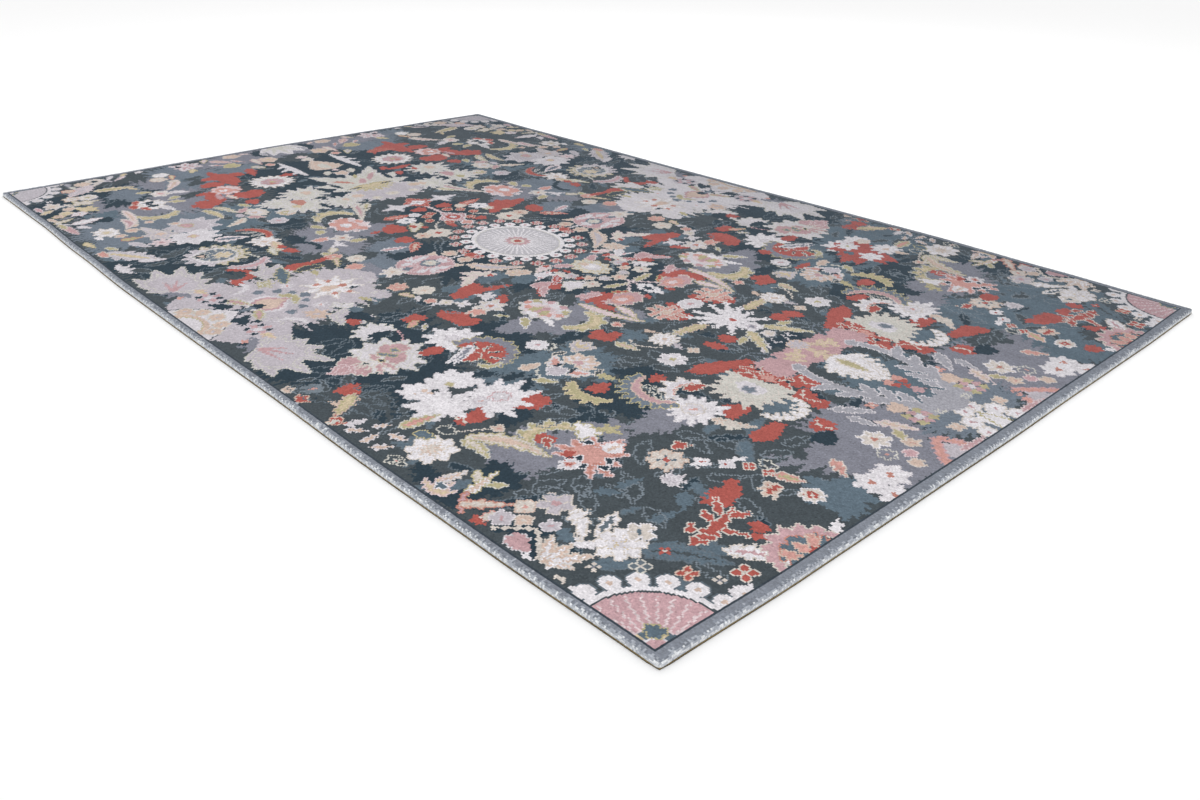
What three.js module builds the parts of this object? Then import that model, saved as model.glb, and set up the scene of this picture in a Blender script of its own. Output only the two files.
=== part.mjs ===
// An Oushak style pile rug lying flat on the floor. Millimetres, +Z up.
// The origin is on the floor under the middle of the rug's outer rectangle.
// +X runs along the long side, +Y from the front long side to the back one.

import * as THREE from 'three';

// Driving dimensions
const rugLength = 2840;
const rugWidth = 1830;
const backingThickness = 2.2;
const clothGap = 0.3;
const pileHeight = 9.5;

// The clipped pile rounds in at its top edge
const shoulderInset = 6;
const shoulderDrop = 4;
const shoulderSteps = 3;

// The backing stops a little short of the pile's side
const backingInset = 1;

// Corners are turned, not square
const cornerReach = 12;
const cornerSteps = 4;

// Steps of the outline between two stations of a side
const stepsPerSpan = 4;

// How far each side lies inside the outer rectangle, at even stations along it.
// The sides follow one another anticlockwise, seen from above.
const sides = [
  { name: 'front', along: [1, 0], inward: [0, 1], insets: [24, 21, 11, 3, 2, 3, 0, 3, 10] },
  { name: 'right', along: [0, 1], inward: [-1, 0], insets: [9, 2, 1, 0, 3, 4, 9] },
  { name: 'back', along: [-1, 0], inward: [0, -1], insets: [25, 12, 0, 4, 12, 13, 10, 14, 8] },
  { name: 'left', along: [0, -1], inward: [1, 0], insets: [34, 20, 9, 0, 6, 13, 12] },
];

const materials = {
  pile: new THREE.MeshStandardMaterial({ color: 0x7f858e, roughness: 0.95, metalness: 0 }),
  backing: new THREE.MeshStandardMaterial({ color: 0xb3a67c, roughness: 0.9, metalness: 0 }),
};

// A side's length on the outer rectangle
function sideLength(side) {
  return side.along[0] === 0 ? rugWidth : rugLength;
}

// A side's inset at a distance from its first corner, eased between stations
function insetAt(side, distance) {
  const spans = side.insets.length - 1;
  const place = THREE.MathUtils.clamp(distance / sideLength(side), 0, 1) * spans;
  const station = Math.min(Math.floor(place), spans - 1);
  const ease = THREE.MathUtils.smoothstep(place - station, 0, 1);
  return THREE.MathUtils.lerp(side.insets[station], side.insets[station + 1], ease);
}

// A point of the outline on a side, measured from the side's first outer corner
function sidePoint(side, distance) {
  const along = new THREE.Vector2(...side.along);
  const inward = new THREE.Vector2(...side.inward);
  const halfAlong = sideLength(side) / 2;
  const halfAcross = (rugLength + rugWidth) / 2 - halfAlong;
  return new THREE.Vector2()
    .addScaledVector(along, distance - halfAlong)
    .addScaledVector(inward, insetAt(side, distance) - halfAcross);
}

// The whole outline: four wandering sides joined by turned corners
function rugOutline() {
  const points = [];
  sides.forEach((side, index) => {
    const before = sides[(index + sides.length - 1) % sides.length];
    const after = sides[(index + 1) % sides.length];
    const start = before.insets.at(-1) + cornerReach;
    const end = sideLength(side) - after.insets[0] - cornerReach;
    const steps = (side.insets.length - 1) * stepsPerSpan;
    for (let step = 0; step <= steps; step += 1) {
      points.push(sidePoint(side, THREE.MathUtils.lerp(start, end, step / steps)));
    }
    const corner = sidePoint(side, end + cornerReach);
    const nextStart = sidePoint(after, side.insets.at(-1) + cornerReach);
    const turn = new THREE.QuadraticBezierCurve(points.at(-1), corner, nextStart);
    for (let step = 1; step < cornerSteps; step += 1) {
      points.push(turn.getPoint(step / cornerSteps));
    }
  });
  return points;
}

// The outline moved inwards by an even amount
function insetOutline(outline, inset) {
  return outline.map((point, index) => {
    const before = outline[(index + outline.length - 1) % outline.length];
    const after = outline[(index + 1) % outline.length];
    const run = after.clone().sub(before).normalize();
    return new THREE.Vector2(point.x - run.y * inset, point.y + run.x * inset);
  });
}

// A flat closed body through rings of the outline, from its underside up
function slab(name, outline, rings, material) {
  const count = outline.length;
  const positions = [];
  const indices = [];
  rings.forEach((ring) => {
    insetOutline(outline, ring.inset).forEach((point) => {
      positions.push(point.x, point.y, ring.z);
    });
  });
  for (let ring = 0; ring < rings.length - 1; ring += 1) {
    for (let index = 0; index < count; index += 1) {
      const low = ring * count + index;
      const lowNext = ring * count + ((index + 1) % count);
      indices.push(low, lowNext, lowNext + count);
      indices.push(low, lowNext + count, low + count);
    }
  }
  const top = (rings.length - 1) * count;
  THREE.ShapeUtils.triangulateShape(outline, []).forEach(([a, b, c]) => {
    indices.push(a, c, b);
    indices.push(top + a, top + b, top + c);
  });
  const geometry = new THREE.BufferGeometry();
  geometry.setAttribute('position', new THREE.Float32BufferAttribute(positions, 3));
  geometry.setIndex(indices);
  geometry.computeVertexNormals();
  const mesh = new THREE.Mesh(geometry, material);
  mesh.name = name;
  return mesh;
}

// The woven cloth under the pile, whose cut edge shows as a thin tan line
function backingCloth(outline) {
  const rings = [
    { z: 0, inset: backingInset },
    { z: backingThickness, inset: backingInset },
  ];
  return slab('backing_cloth', outline, rings, materials.backing);
}

// The pile with its foundation: an upright side and a rounded shoulder
function pileBody(outline) {
  const bottom = backingThickness + clothGap;
  const top = bottom + pileHeight;
  const rings = [{ z: bottom, inset: 0 }];
  for (let step = 0; step <= shoulderSteps; step += 1) {
    const turn = (step / shoulderSteps) * (Math.PI / 2);
    rings.push({
      z: top - shoulderDrop * (1 - Math.sin(turn)),
      inset: shoulderInset * (1 - Math.cos(turn)),
    });
  }
  return slab('pile', outline, rings, materials.pile);
}

const outline = rugOutline();
const rug = new THREE.Group();
rug.name = 'rug';
rug.add(backingCloth(outline));
rug.add(pileBody(outline));

export default rug;
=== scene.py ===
# An Oushak style pile rug for Blender 4.5: its knots, edges, backing, light and camera
import math
import bpy
import numpy as np
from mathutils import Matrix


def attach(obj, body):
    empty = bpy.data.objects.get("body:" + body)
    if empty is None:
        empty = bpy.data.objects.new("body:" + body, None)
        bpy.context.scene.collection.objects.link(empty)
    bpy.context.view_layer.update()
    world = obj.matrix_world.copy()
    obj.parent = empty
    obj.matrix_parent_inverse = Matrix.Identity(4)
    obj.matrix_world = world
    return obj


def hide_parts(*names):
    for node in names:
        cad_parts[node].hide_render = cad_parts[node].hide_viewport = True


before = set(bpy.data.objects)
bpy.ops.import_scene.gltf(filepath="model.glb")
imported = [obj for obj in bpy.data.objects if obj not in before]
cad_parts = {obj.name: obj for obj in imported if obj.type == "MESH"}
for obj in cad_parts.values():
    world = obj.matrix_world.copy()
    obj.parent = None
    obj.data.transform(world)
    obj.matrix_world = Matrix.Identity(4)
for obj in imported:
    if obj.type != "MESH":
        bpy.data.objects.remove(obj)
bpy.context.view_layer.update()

# Knot chart
# Everything on the chart is in centimetres from the middle of the rug, x along it and y across it.

rug = {
    "length": 284.0,
    "width": 183.0,
    "knotsAlong": 846,
    "knotsAcross": 546,
    "band": {"front": 4, "back": 6, "left": 6, "right": 6},  # knots in the plain band round the edge
    "middleLine": (1.1, 0.017, 0.009),   # where the pattern mirrors: at the middle, its rise right and left
    "patternReach": 88.6,    # how far the pattern reaches from the middle across the rug
    # The far half lies a little to the right of the near one: by how much at these places, at the far edge
    "slipPlaces": (-140, -85, -42, 0, 40, 76, 98, 140),
    "slip": (0, 0.5, 2.1, 5.5, 5.2, 3.0, 0.6, 0),
    "cornerReach": 0.8,      # how far from a corner its turn starts
    "edgeKnots": (0.0, 0.45, 1.2, 2.3, 3.5, 4.7, 5.87, 7.0),  # the outermost are narrower, to round the edge
    "ragged": 0.05,          # how far a knot may stray from a drawn edge
    "tooth": 0.27,           # how far the teeth of a drawn edge reach to each side of it
    "toothPitch": 1.36,      # and how long they are
    "seed": 7,
}

# How far each side lies inside the outer rectangle, at even stations from the left or the front
sideInsets = {
    "front": (2.4, 2.1, 1.1, 0.3, 0.2, 0.3, 0.0, 0.3, 1.0),
    "back": (0.8, 1.4, 1.0, 1.3, 1.2, 0.4, 0.0, 1.2, 2.5),
    "left": (1.2, 1.3, 0.6, 0.0, 0.9, 2.0, 3.4),
    "right": (0.9, 0.2, 0.1, 0.0, 0.3, 0.4, 0.9),
}

# Dyed yarns as they look in soft daylight, and two tones of painted highlight for the rug's edge (red,
# green, blue of 255)
yarns = {
    "slate": (71, 79, 84),
    "navy": (44, 60, 71),
    "steel": (95, 111, 123),
    "flint": (114, 124, 136),
    "mauve": (131, 132, 143),
    "ash": (165, 164, 172),
    "discGrey": (190, 187, 193),
    "borderGrey": (131, 136, 146),
    "guard": (58, 67, 76),
    # These two are painted highlight for the edge knots and side walls: pale grey and white where the
    # rounded shoulder catches the light
    "edgeHighlightPale": (172, 177, 186),
    "edgeHighlightWhite": (230, 233, 236),
    "faint": (120, 130, 139),
    "dim": (99, 110, 119),
    "lilac": (190, 183, 190),
    "mist": (212, 207, 212),
    "white": (226, 222, 226),
    "bone": (203, 200, 193),
    "cream": (209, 200, 193),
    "gold": (204, 188, 159),
    "peach": (206, 183, 170),
    "pink": (205, 155, 147),
    "rose": (191, 156, 160),
    "blush": (196, 160, 165),
    "petal": (216, 198, 201),
    "red": (174, 90, 82),
    "olive": (181, 172, 137),
    "rust": (188, 132, 120),
}
yarnIndex = {name: index for index, name in enumerate(yarns)}


def insetAt(side, share):
    stations = np.array(sideInsets[side])
    place = np.clip(share, 0, 1) * (len(stations) - 1)
    low = np.minimum(place.astype(int), len(stations) - 2)
    ease = place - low
    ease = ease * ease * (3 - 2 * ease)
    return stations[low] * (1 - ease) + stations[low + 1] * ease


# The place on the rug, in cm, of a share along it and a share across it
def onRug(along, across):
    x = (along - 0.5) * rug["length"]
    y = (across - 0.5) * rug["width"]
    x = x + insetAt("left", across) * (1 - along) - insetAt("right", across) * along
    y = y + insetAt("front", along) * (1 - across) - insetAt("back", along) * across
    fromEnd = np.minimum(along, 1 - along) * rug["length"]
    fromSide = np.minimum(across, 1 - across) * rug["width"]
    endTurn = np.clip(1 - fromEnd / rug["cornerReach"], 0, 1)
    sideTurn = np.clip(1 - fromSide / rug["cornerReach"], 0, 1)
    pull = rug["cornerReach"] / 4
    x = x - np.sign(along - 0.5) * pull * sideTurn ** 2 * endTurn
    y = y - np.sign(across - 0.5) * pull * endTurn ** 2 * sideTurn
    return x, y


# Shares of the lines between the knots, closer together by the edges
def knotLines(count):
    lines = np.arange(count + 1, dtype=float)
    edge = np.array(rug["edgeKnots"])
    lines[:len(edge)] = edge
    lines[-len(edge):] = count - edge[::-1]
    return lines / count


lineAlong = knotLines(rug["knotsAlong"])
lineAcross = knotLines(rug["knotsAcross"])
lineX, lineY = onRug(*np.meshgrid(lineAlong, lineAcross))
knotX = (lineX[:-1, :-1] + lineX[1:, 1:]) / 2
knotY = (lineY[:-1, :-1] + lineY[1:, 1:]) / 2
knotPitch = rug["length"] / rug["knotsAlong"]
rng = np.random.default_rng(rug["seed"])


# 0 at the middle of a run and 1 at its ends
def zigzag(value):
    return np.abs((value % 1.0) - 0.5) * 2


# The weave steps every drawn edge into small teeth
def toothed(one, other):
    run = other / rug["toothPitch"] + 0.5 * np.sin(one / 6.1) + 0.35 * np.sin(other / 4.3)
    return one + rug["tooth"] * (2 * zigzag(run) - 1) + rng.normal(0, rug["ragged"], one.shape)


strayX, strayY = toothed(knotX, knotY), toothed(knotY, knotX)
chart = np.full(knotX.shape, yarnIndex["slate"], np.uint8)
mirror = {"on": False}


# The part of the chart near a place, with each knot's distances from it, turned as the motif is
def near(x, y, reach, turn=0.0, smooth=False):
    flip = -1 if mirror["on"] else 1
    if mirror["on"]:
        x = x + np.interp(x, rug["slipPlaces"], rug["slip"]) * max(-y, 0) / 80
        middle, rightRise, leftRise = rug["middleLine"]
        line = middle + rightRise * max(x, 0) + leftRise * max(-x, 0)
        y = line + (line - y) * (rug["patternReach"] - line) / (rug["patternReach"] + line)
    margin = reach + 3.6
    columns = slice(
        max(0, int((x - margin + rug["length"] / 2) / knotPitch)),
        max(0, int((x + margin + rug["length"] / 2) / knotPitch) + 1),
    )
    rows = slice(
        max(0, int((y - margin + rug["width"] / 2) / knotPitch)),
        max(0, int((y + margin + rug["width"] / 2) / knotPitch) + 1),
    )
    across = (knotX if smooth else strayX)[rows, columns] - x
    up = ((knotY if smooth else strayY)[rows, columns] - y) * flip
    c, s = math.cos(math.radians(turn)), math.sin(math.radians(turn))
    return (rows, columns), across * c + up * s, up * c - across * s


def grown(mask):
    wide = mask.copy()
    wide[1:] |= mask[:-1]
    wide[:-1] |= mask[1:]
    wide[:, 1:] |= mask[:, :-1]
    wide[:, :-1] |= mask[:, 1:]
    return wide


def tie(area, mask, yarn, rim=None):
    if rim:
        chart[area][grown(mask)] = yarnIndex[rim]
    if yarn:
        chart[area][mask] = yarnIndex[yarn]
    elif rim:
        chart[area][grown(mask) & ~mask] = yarnIndex[rim]


# A fine line inside a big motif, a few knots in from its edge
def innerLine(area, mask, yarn, knots=3):
    inner = mask
    for step in range(knots):
        inner = ~grown(~inner)
    tie(area, inner & grown(~inner), yarn)


# Uneven lobes that differ from place to place
def wobble(angle, x, y, amount):
    phase = x * 1.7 + y * 2.9
    waves = np.sin(3 * angle + phase) + 0.7 * np.sin(5 * angle + 2.1 * phase)
    waves = waves + 0.5 * np.sin(8 * angle - phase)
    return 1 + amount * waves / 1.6


grounds = ("navy", "slate", "steel", "flint", "mauve")


def patch(x, y, halfLong, halfWide, turn, yarn, rim=None, uneven=0.16):
    area, u, v = near(x, y, max(halfLong, halfWide) * 1.4, turn)
    angle = np.arctan2(v / halfWide, u / halfLong)
    edge = wobble(angle, x, y, uneven)
    if yarn in grounds and max(halfLong, halfWide) > 3.6:
        points = round(1.3 * (halfLong + halfWide))
        edge = edge * (1.12 - 0.3 * zigzag(points * angle / (2 * math.pi) + 0.4 * np.sin(3 * angle + x)))
    tie(area, np.hypot(u / halfLong, v / halfWide) < edge, yarn, rim)


# Thin outline of a leaf that isn't filled in
def ghost(x, y, length, width, turn, yarn="faint", teeth=3, bend=0.0):
    area, u, v = near(x, y, max(length, width) * 0.62 + abs(bend), turn)
    mask = leafMask(u, v, length, width, bend, teeth, 0.4, 0.7)
    chart[area][grown(mask) & ~mask] = yarnIndex[yarn]


# A round flower of soft petals with a ring and a heart
def flower(x, y, radius, petals, yarn, rim=None, ring=None, heart=None, depth=0.3, turn=0, squash=1.0):
    area, u, v = near(x, y, radius, turn)
    v = v / squash
    angle, far = np.arctan2(v, u), np.hypot(u, v)
    between = np.abs(np.cos(petals * angle / 2))
    edge = radius * (1 - depth + depth * between)
    tie(area, far < edge, yarn, rim)
    if rim and radius > 2.2:
        tie(area, (far < edge) & (far > radius * 0.42) & (between * far * 2 / petals < 0.16), rim)
    if ring:
        tie(area, far < radius * 0.52, ring)
    if heart:
        tie(area, far < max(radius * 0.24, 0.34), heart)


# A flower of pointed petals, even or uneven
def star(x, y, radius, points, yarn, rim=None, ring=None, heart=None, depth=0.4, turn=0, uneven=0.0,
         squash=1.0):
    area, u, v = near(x, y, radius * (1 + uneven), turn)
    v = v / squash
    angle, far = np.arctan2(v, u), np.hypot(u, v)
    between = zigzag(points * angle / (2 * math.pi) + 0.5)
    small = 0.1 * zigzag(points * angle / math.pi + 0.3) if radius > 3 else 0
    edge = radius * (1.04 - 1.25 * depth * between ** 0.8 - small) * wobble(angle, x, y, uneven)
    tie(area, far < edge, yarn, rim)
    if rim and radius > 2.2:
        tie(area, (far < edge) & (far > radius * 0.4) & ((1 - between) * far * math.pi / points < 0.18), rim)
    if rim and radius > 4.4:
        innerLine(area, far < edge, rim)
    if ring:
        tie(area, far < radius * 0.45, ring)
    if heart:
        tie(area, far < max(radius * 0.2, 0.34), heart)


def leafMask(u, v, length, width, bend, teeth, depth, blunt):
    share = u / length + 0.5
    v = v - bend * (1 - (2 * share - 1) ** 2)
    inside = np.clip(share, 1e-3, 1 - 1e-3)
    half = width * 0.5 * np.sin(math.pi * inside ** blunt)
    if teeth:
        half = half * (1 - depth * (1 - (inside * teeth) % 1.0))
    return (share > 0) & (share < 1) & (np.abs(v) < half)


# A leaf from its stalk to its tip along a bent spine, toothed on both sides
def leaf(x, y, length, width, turn, yarn, rim=None, core=None, bend=0.0, teeth=None, depth=0.5, blunt=0.66,
         vein=0.36):
    area, u, v = near(x, y, max(length, width) * 0.62 + abs(bend), turn)
    if teeth is None:
        teeth = round(length / 2) if length > 4.5 else 0
    mask = leafMask(u, v, length, width, bend, teeth, depth, blunt)
    tie(area, mask, yarn, rim)
    if rim and width > 4.2:
        innerLine(area, mask, rim, 2)
    if core:
        tie(area, leafMask(u * 1.2, v, length, width * vein, bend, 0, 0, blunt), core)


# Pointed blades that spread from one place, each with its angle, length and width
def spray(x, y, blades, yarn, rim=None, core=None, blunt=0.62, vein=0.3, teeth=0):
    area, u, v = near(x, y, max(length for angle, length, width in blades))
    mask = np.zeros(u.shape, bool)
    veins = np.zeros(u.shape, bool)
    for angle, length, width in blades:
        c, s = math.cos(math.radians(angle)), math.sin(math.radians(angle))
        along, aside = u * c + v * s - length / 2, v * c - u * s
        mask |= leafMask(along, aside, length, width, 0, teeth, 0.45, blunt)
        veins |= leafMask(along * 1.25, aside, length, width * vein, 0, 0, 0, blunt)
    tie(area, mask, yarn, rim)
    if rim and max(length for angle, length, width in blades) > 6:
        innerLine(area, mask, rim)
    if core:
        tie(area, veins, core)


# A curved band, tapered at both ends and toothed on its outside, or its inside with comb -1
def crescent(x, y, radius, width, fromAngle, toAngle, yarn, rim=None, core=None, teeth=0, depth=0.5,
             squash=1.0, comb=1):
    area, u, v = near(x, y, radius + width)
    v = v / squash
    angle = (np.degrees(np.arctan2(v, u)) - fromAngle) % 360
    share = angle / (toAngle - fromAngle)
    inside = np.clip(share, 1e-3, 1 - 1e-3)
    half = width * 0.5 * np.sin(math.pi * inside) ** 0.6
    outer = half * (1 + depth * (1 - 2 * zigzag(inside * teeth))) if teeth else half
    off = comb * (np.hypot(u, v) - radius)
    tie(area, (share < 1) & (off < outer) & (off > -half), yarn, rim)
    if core:
        tie(area, (share < 1) & (np.abs(off) < half * 0.45), core)


# Four petals round a heart, square on or turned
def cross(x, y, radius, yarn, rim=None, heart=None, turn=0):
    area, u, v = near(x, y, radius, turn, smooth=True)
    out = radius * 0.62
    petals = np.minimum(np.hypot(np.abs(u) - out, v * 1.25), np.hypot(u * 1.25, np.abs(v) - out))
    tie(area, petals < radius * 0.42, yarn, rim)
    if heart:
        tie(area, np.hypot(u, v) < max(radius * 0.26, 0.3), heart)


# A thin line eased through a few points
def stem(points, yarn, width=0.2):
    points = np.array(points, float)
    fine = np.linspace(0, len(points) - 1, 10 * (len(points) - 1) + 1)
    low = np.minimum(fine.astype(int), len(points) - 2)
    part = fine - low
    p0 = points[np.maximum(low - 1, 0)].T
    p1, p2 = points[low].T, points[low + 1].T
    p3 = points[np.minimum(low + 2, len(points) - 1)].T
    run = 0.5 * (2 * p1 + (p2 - p0) * part + (2 * p0 - 5 * p1 + 4 * p2 - p3) * part ** 2
                 + (3 * p1 - p0 - 3 * p2 + p3) * part ** 3)
    middle = run.mean(1)
    run = run - middle[:, None]
    area, u, v = near(middle[0], middle[1], np.abs(run).max() + 0.6)
    far = np.full(u.shape, 99.0)
    for a, b in zip(run.T[:-1], run.T[1:]):
        step = b - a
        share = np.clip(((u - a[0]) * step[0] + (v - a[1]) * step[1]) / max(step @ step, 1e-6), 0, 1)
        far = np.minimum(far, np.hypot(u - a[0] - share * step[0], v - a[1] - share * step[1]))
    tie(area, far < width, yarn)


# A line with an outline, such as a stalk or a bar
def band(points, yarn, rim, width):
    stem(points, rim, width + 0.36)
    stem(points, yarn, width)


# A toothed palmette: dome, inner fan, heart and dark eyes at its sides
def palmette(x, y, width, height, turn, outer, inner, heart, rim=None, teeth=14, spots=None):
    area, u, v = near(x, y, max(width, height) * 0.7, turn)
    angle = np.arctan2(v / height, u / width)
    far = np.hypot(u / width, v / height) * 2
    tie(area, far < 1 - 0.26 * zigzag(teeth * angle / (2 * math.pi)), outer, rim)
    inside = np.hypot(u / width, (v + height * 0.08) / height) * 2
    tie(area, inside < 0.62 - 0.1 * zigzag(teeth * angle / (2 * math.pi) + 0.5), inner)
    tie(area, np.hypot(u / width, (v + height * 0.1) / height) * 2 < 0.26, heart)
    if spots:
        for way in (-1, 1):
            tie(area, np.hypot(u - way * width * 0.27, (v + height * 0.05) * 0.7) < width * 0.07, spots)


# A tulip: three points over a cup
def tulip(x, y, width, height, turn, yarn, rim=None, heart=None):
    area, u, v = near(x, y, max(width, height) * 0.7, turn)
    share = np.clip(v / height + 0.5, 0, 1)
    half = width * 0.5 * (0.25 + 0.75 * share)
    notch = 1 - 0.42 * zigzag(u / width * 2 + 0.5)
    on = (v > -height / 2) & (v < height * (notch - 0.5)) & (np.abs(u) < half)
    tie(area, on, yarn, rim)
    if heart:
        tie(area, on & (np.abs(u) < width * 0.12) & (v < height * 0.2), heart)


# The fan in each corner: ribs, a white band, and a ring of white lobes with a spot in each
cornerFan = {
    "radius": 12.4,
    "squash": 0.9,
    "ribs": 15,
    "lobes": 6,
    "lobeTurns": (4, 16.8),             # degrees to the first lobe, and from lobe to lobe
    "lobeRadius": 1.75,
    "lobeSpot": 0.5,
    "heart": (4.4, 4.05, 2.5, 2.1),     # its ring, its ground, and the small flower with its middle
}


def fan(x, y, base, ribs, band, spot, side=1):
    area, u, v = near(x, y, 19, smooth=True)
    v = v / cornerFan["squash"]
    u = u * side
    radius = cornerFan["radius"]
    far, angle = np.hypot(u, v), np.degrees(np.arctan2(v, -u))
    lobe = np.zeros(u.shape, bool)
    spots = np.zeros(u.shape, bool)
    for index in range(cornerFan["lobes"]):
        turn = math.radians(cornerFan["lobeTurns"][0] + index * cornerFan["lobeTurns"][1])
        away = np.hypot(u + (radius + 3) * math.cos(turn), v - (radius + 3) * math.sin(turn))
        lobe |= away < cornerFan["lobeRadius"]
        spots |= away < cornerFan["lobeSpot"]
    tie(area, (far < radius + 1.5) | lobe, band, rim="dim")
    tie(area, spots, spot)
    tie(area, far < radius + 0.4, "slate")
    tie(area, far < radius, base)
    wave = zigzag(angle / 180 * cornerFan["ribs"] + 0.1 * np.sin(far * 4.2))
    ring, inside, petals, middle = cornerFan["heart"]
    tie(area, (far < radius - 0.5) & (far > ring) & ((1 - wave) * far * 0.105 < 0.2), ribs)
    tie(area, far < ring, ribs)
    tie(area, far < inside, "steel")
    tie(area, (far < inside) & (far > petals) & (zigzag(angle / 22) > 0.66), "gold")
    tie(area, far < petals, "mist")
    tie(area, far < middle, base)


# Paints one motif after another from a table of them, with what they share named once
def scatter(motif, rows, **shared):
    for row in rows:
        motif(*row, **shared)


# The corner by the camera, with its fan
def nearCorner():
    fan(139.1, -88.7, "blush", "petal", "white", "peach")
    patch(136.3, -86.4, 1.5, 1.2, 20, "steel", "olive")
    leaf(130, -88.4, 4, 1.6, 30, "blush")
    star(139.2, -71.3, 2.2, 10, "white", "mist", heart="peach")
    scatter(cross, (
        (136.1, -67.6, 1.9, "red", "cream", "cream"), (130.6, -73.9, 1.5, "red", "peach", "peach"),
        (134.8, -71.7, 1.1, "cream", None, "mauve"), (124.9, -77.7, 1.5, "dim", "bone", "cream"),
        (120.4, -82.9, 1.2, "cream", None, "mauve"),
    ), turn=45)
    leaf(135, -63.2, 10.5, 4.1, 28, "white", "cream", "blush", bend=0.8, teeth=5, depth=0.6, vein=0.16)
    crescent(140.6, -56.5, 6.4, 2.8, 92, 268, "blush", "cream", teeth=8, depth=0.7)
    patch(139.4, -56.5, 4.2, 4.8, 0, "steel", "rust", uneven=0)
    for y, turn in ((-59.4, -30), (-56.5, 0), (-53.6, 30)):
        leaf(137.6, y, 3.4, 1.8, 180 - turn, "pink", "peach")
    scatter(patch, (
        (140, -55.4, 1.2, 1.2, 0), (130.1, -57, 1.8, 1.4, 0), (131.5, -59.2, 1.1, 0.9, 30),
        (120.3, -54.4, 2.6, 4.2, 0), (118.9, -50.6, 1.2, 1.6, 30), (99.4, -88.3, 1.5, 0.9, 0),
    ), yarn="red")
    leaf(125, -62.1, 13.6, 3.2, 100, "red", "cream", bend=-0.6, teeth=5, depth=0.6)
    scatter(leaf, (
        (128.6, -61, 4.6, 1.5, 28), (121.9, -57.4, 5, 1.8, 140), (122.4, -60.6, 3.6, 1.4, 160),
        (126.6, -65, 3.4, 1.4, 40), (126, -56.4, 4, 1.6, 60), (123, -65, 3, 1.3, 130),
    ), yarn="red", rim="cream")
    leaf(127.9, -71.2, 14.6, 5.2, 32, "steel", "dim", "slate", bend=0.9, teeth=7, vein=0.14)
    leaf(123.3, -71.6, 6, 2, 70, "steel", teeth=3)
    cross(124.6, -72.4, 1.1, "red", heart="cream")
    flower(118.8, -76.2, 4.2, 8, "white", "cream", depth=0.34)
    spray(118.8, -76.2, [(angle, 2.6, 1.1) for angle in range(0, 360, 90)], "mist", core="gold")
    flower(118.6, -71.6, 2.4, 4, "cream", "white", heart="steel", depth=0.34)
    leaf(115.6, -80, 4, 1.4, 40, "white", "mist")
    leaf(110.6, -77.4, 9, 3, -35, "white", "cream", bend=0.7, teeth=4, depth=0.6)
    leaf(109, -75.4, 4, 1.6, 80, "white", "cream")
    leaf(112.8, -80.4, 3.4, 1.4, 20, "white", "cream")
    leaf(113.8, -74.3, 7.4, 2.6, -72, "white", "cream", "dim", teeth=3, depth=0.6)
    flower(104.1, -76, 3.1, 5, "lilac", "cream", heart="rose", depth=0.36, turn=20)
    star(108.3, -80.9, 1.8, 5, "lilac", "mist", heart="rose")
    patch(111.7, -80.7, 1.9, 1.3, -20, "steel")
    flower(104.2, -82.8, 1.5, 4, "peach", "cream", heart="cream")
    spray(114.4, -87.6, [(58, 8, 2.8), (92, 6.6, 2.6), (126, 7, 2.8), (28, 5.4, 1.6), (152, 5, 1.6)],
            "peach", "cream", "white", teeth=3)
    patch(108.5, -87, 2.9, 1.7, 0, "rose", "mist")
    patch(112, -88.2, 1.1, 0.9, 0, "white")
    scatter(stem, (
        ([(102.6, -87.7), (105.4, -84.9), (107.7, -83.2), (110.5, -85), (113.4, -87.6)], "cream", 0.42),
        ([(103.4, -88), (105.6, -85.7), (107.7, -84.3), (110.1, -85.8), (112.6, -87.9)], "navy", 0.42),
        ([(116.2, -88.4), (116.4, -86.3), (117.4, -84.6)], "white", 0.25),
    ))
    patch(119.5, -88.3, 1.2, 0.5, 0, "cream")
    patch(123.4, -88.2, 1.7, 1.1, 0, "white")
    flower(101.4, -80.2, 1.9, 4, "cream", "peach", heart="pink")
    flower(101.5, -85, 1.9, 5, "lilac", "mist", heart="rose")
    # Along the right edge and above the corner
    star(106.4, -53.1, 3.7, 8, "cream", "peach", ring="steel", heart="red", depth=0.25)
    cross(106.4, -53.1, 2.3, "cream", heart="red")
    cross(111.1, -50.4, 1.1, "white", turn=45)
    spray(111.6, -58.4, [(85, 4.6, 2), (120, 4.4, 1.8), (55, 3.8, 1.6), (150, 3, 1.4), (20, 2.6, 1.3)],
            "mist", core="lilac")
    scatter(leaf, (
        (117, -56, 6, 3.4, -20), (117.4, -60.4, 6, 4, -50), (118.3, -65.6, 6, 3, 80),
        (107.5, -62.9, 6, 2.4, 80), (107.2, -67.4, 5, 3, 40),
    ), yarn="steel", teeth=3)
    ghost(126, -54, 7, 2.6, -18)
    ghost(117.5, -67, 6, 3, -15)
    ghost(110.4, -64.8, 6, 3, -50)
    ghost(103, -69.5, 6, 3.4, -40)
    ghost(107.4, -72, 6, 3, -30)
    ghost(101, -74, 5, 3, 30)


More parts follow.
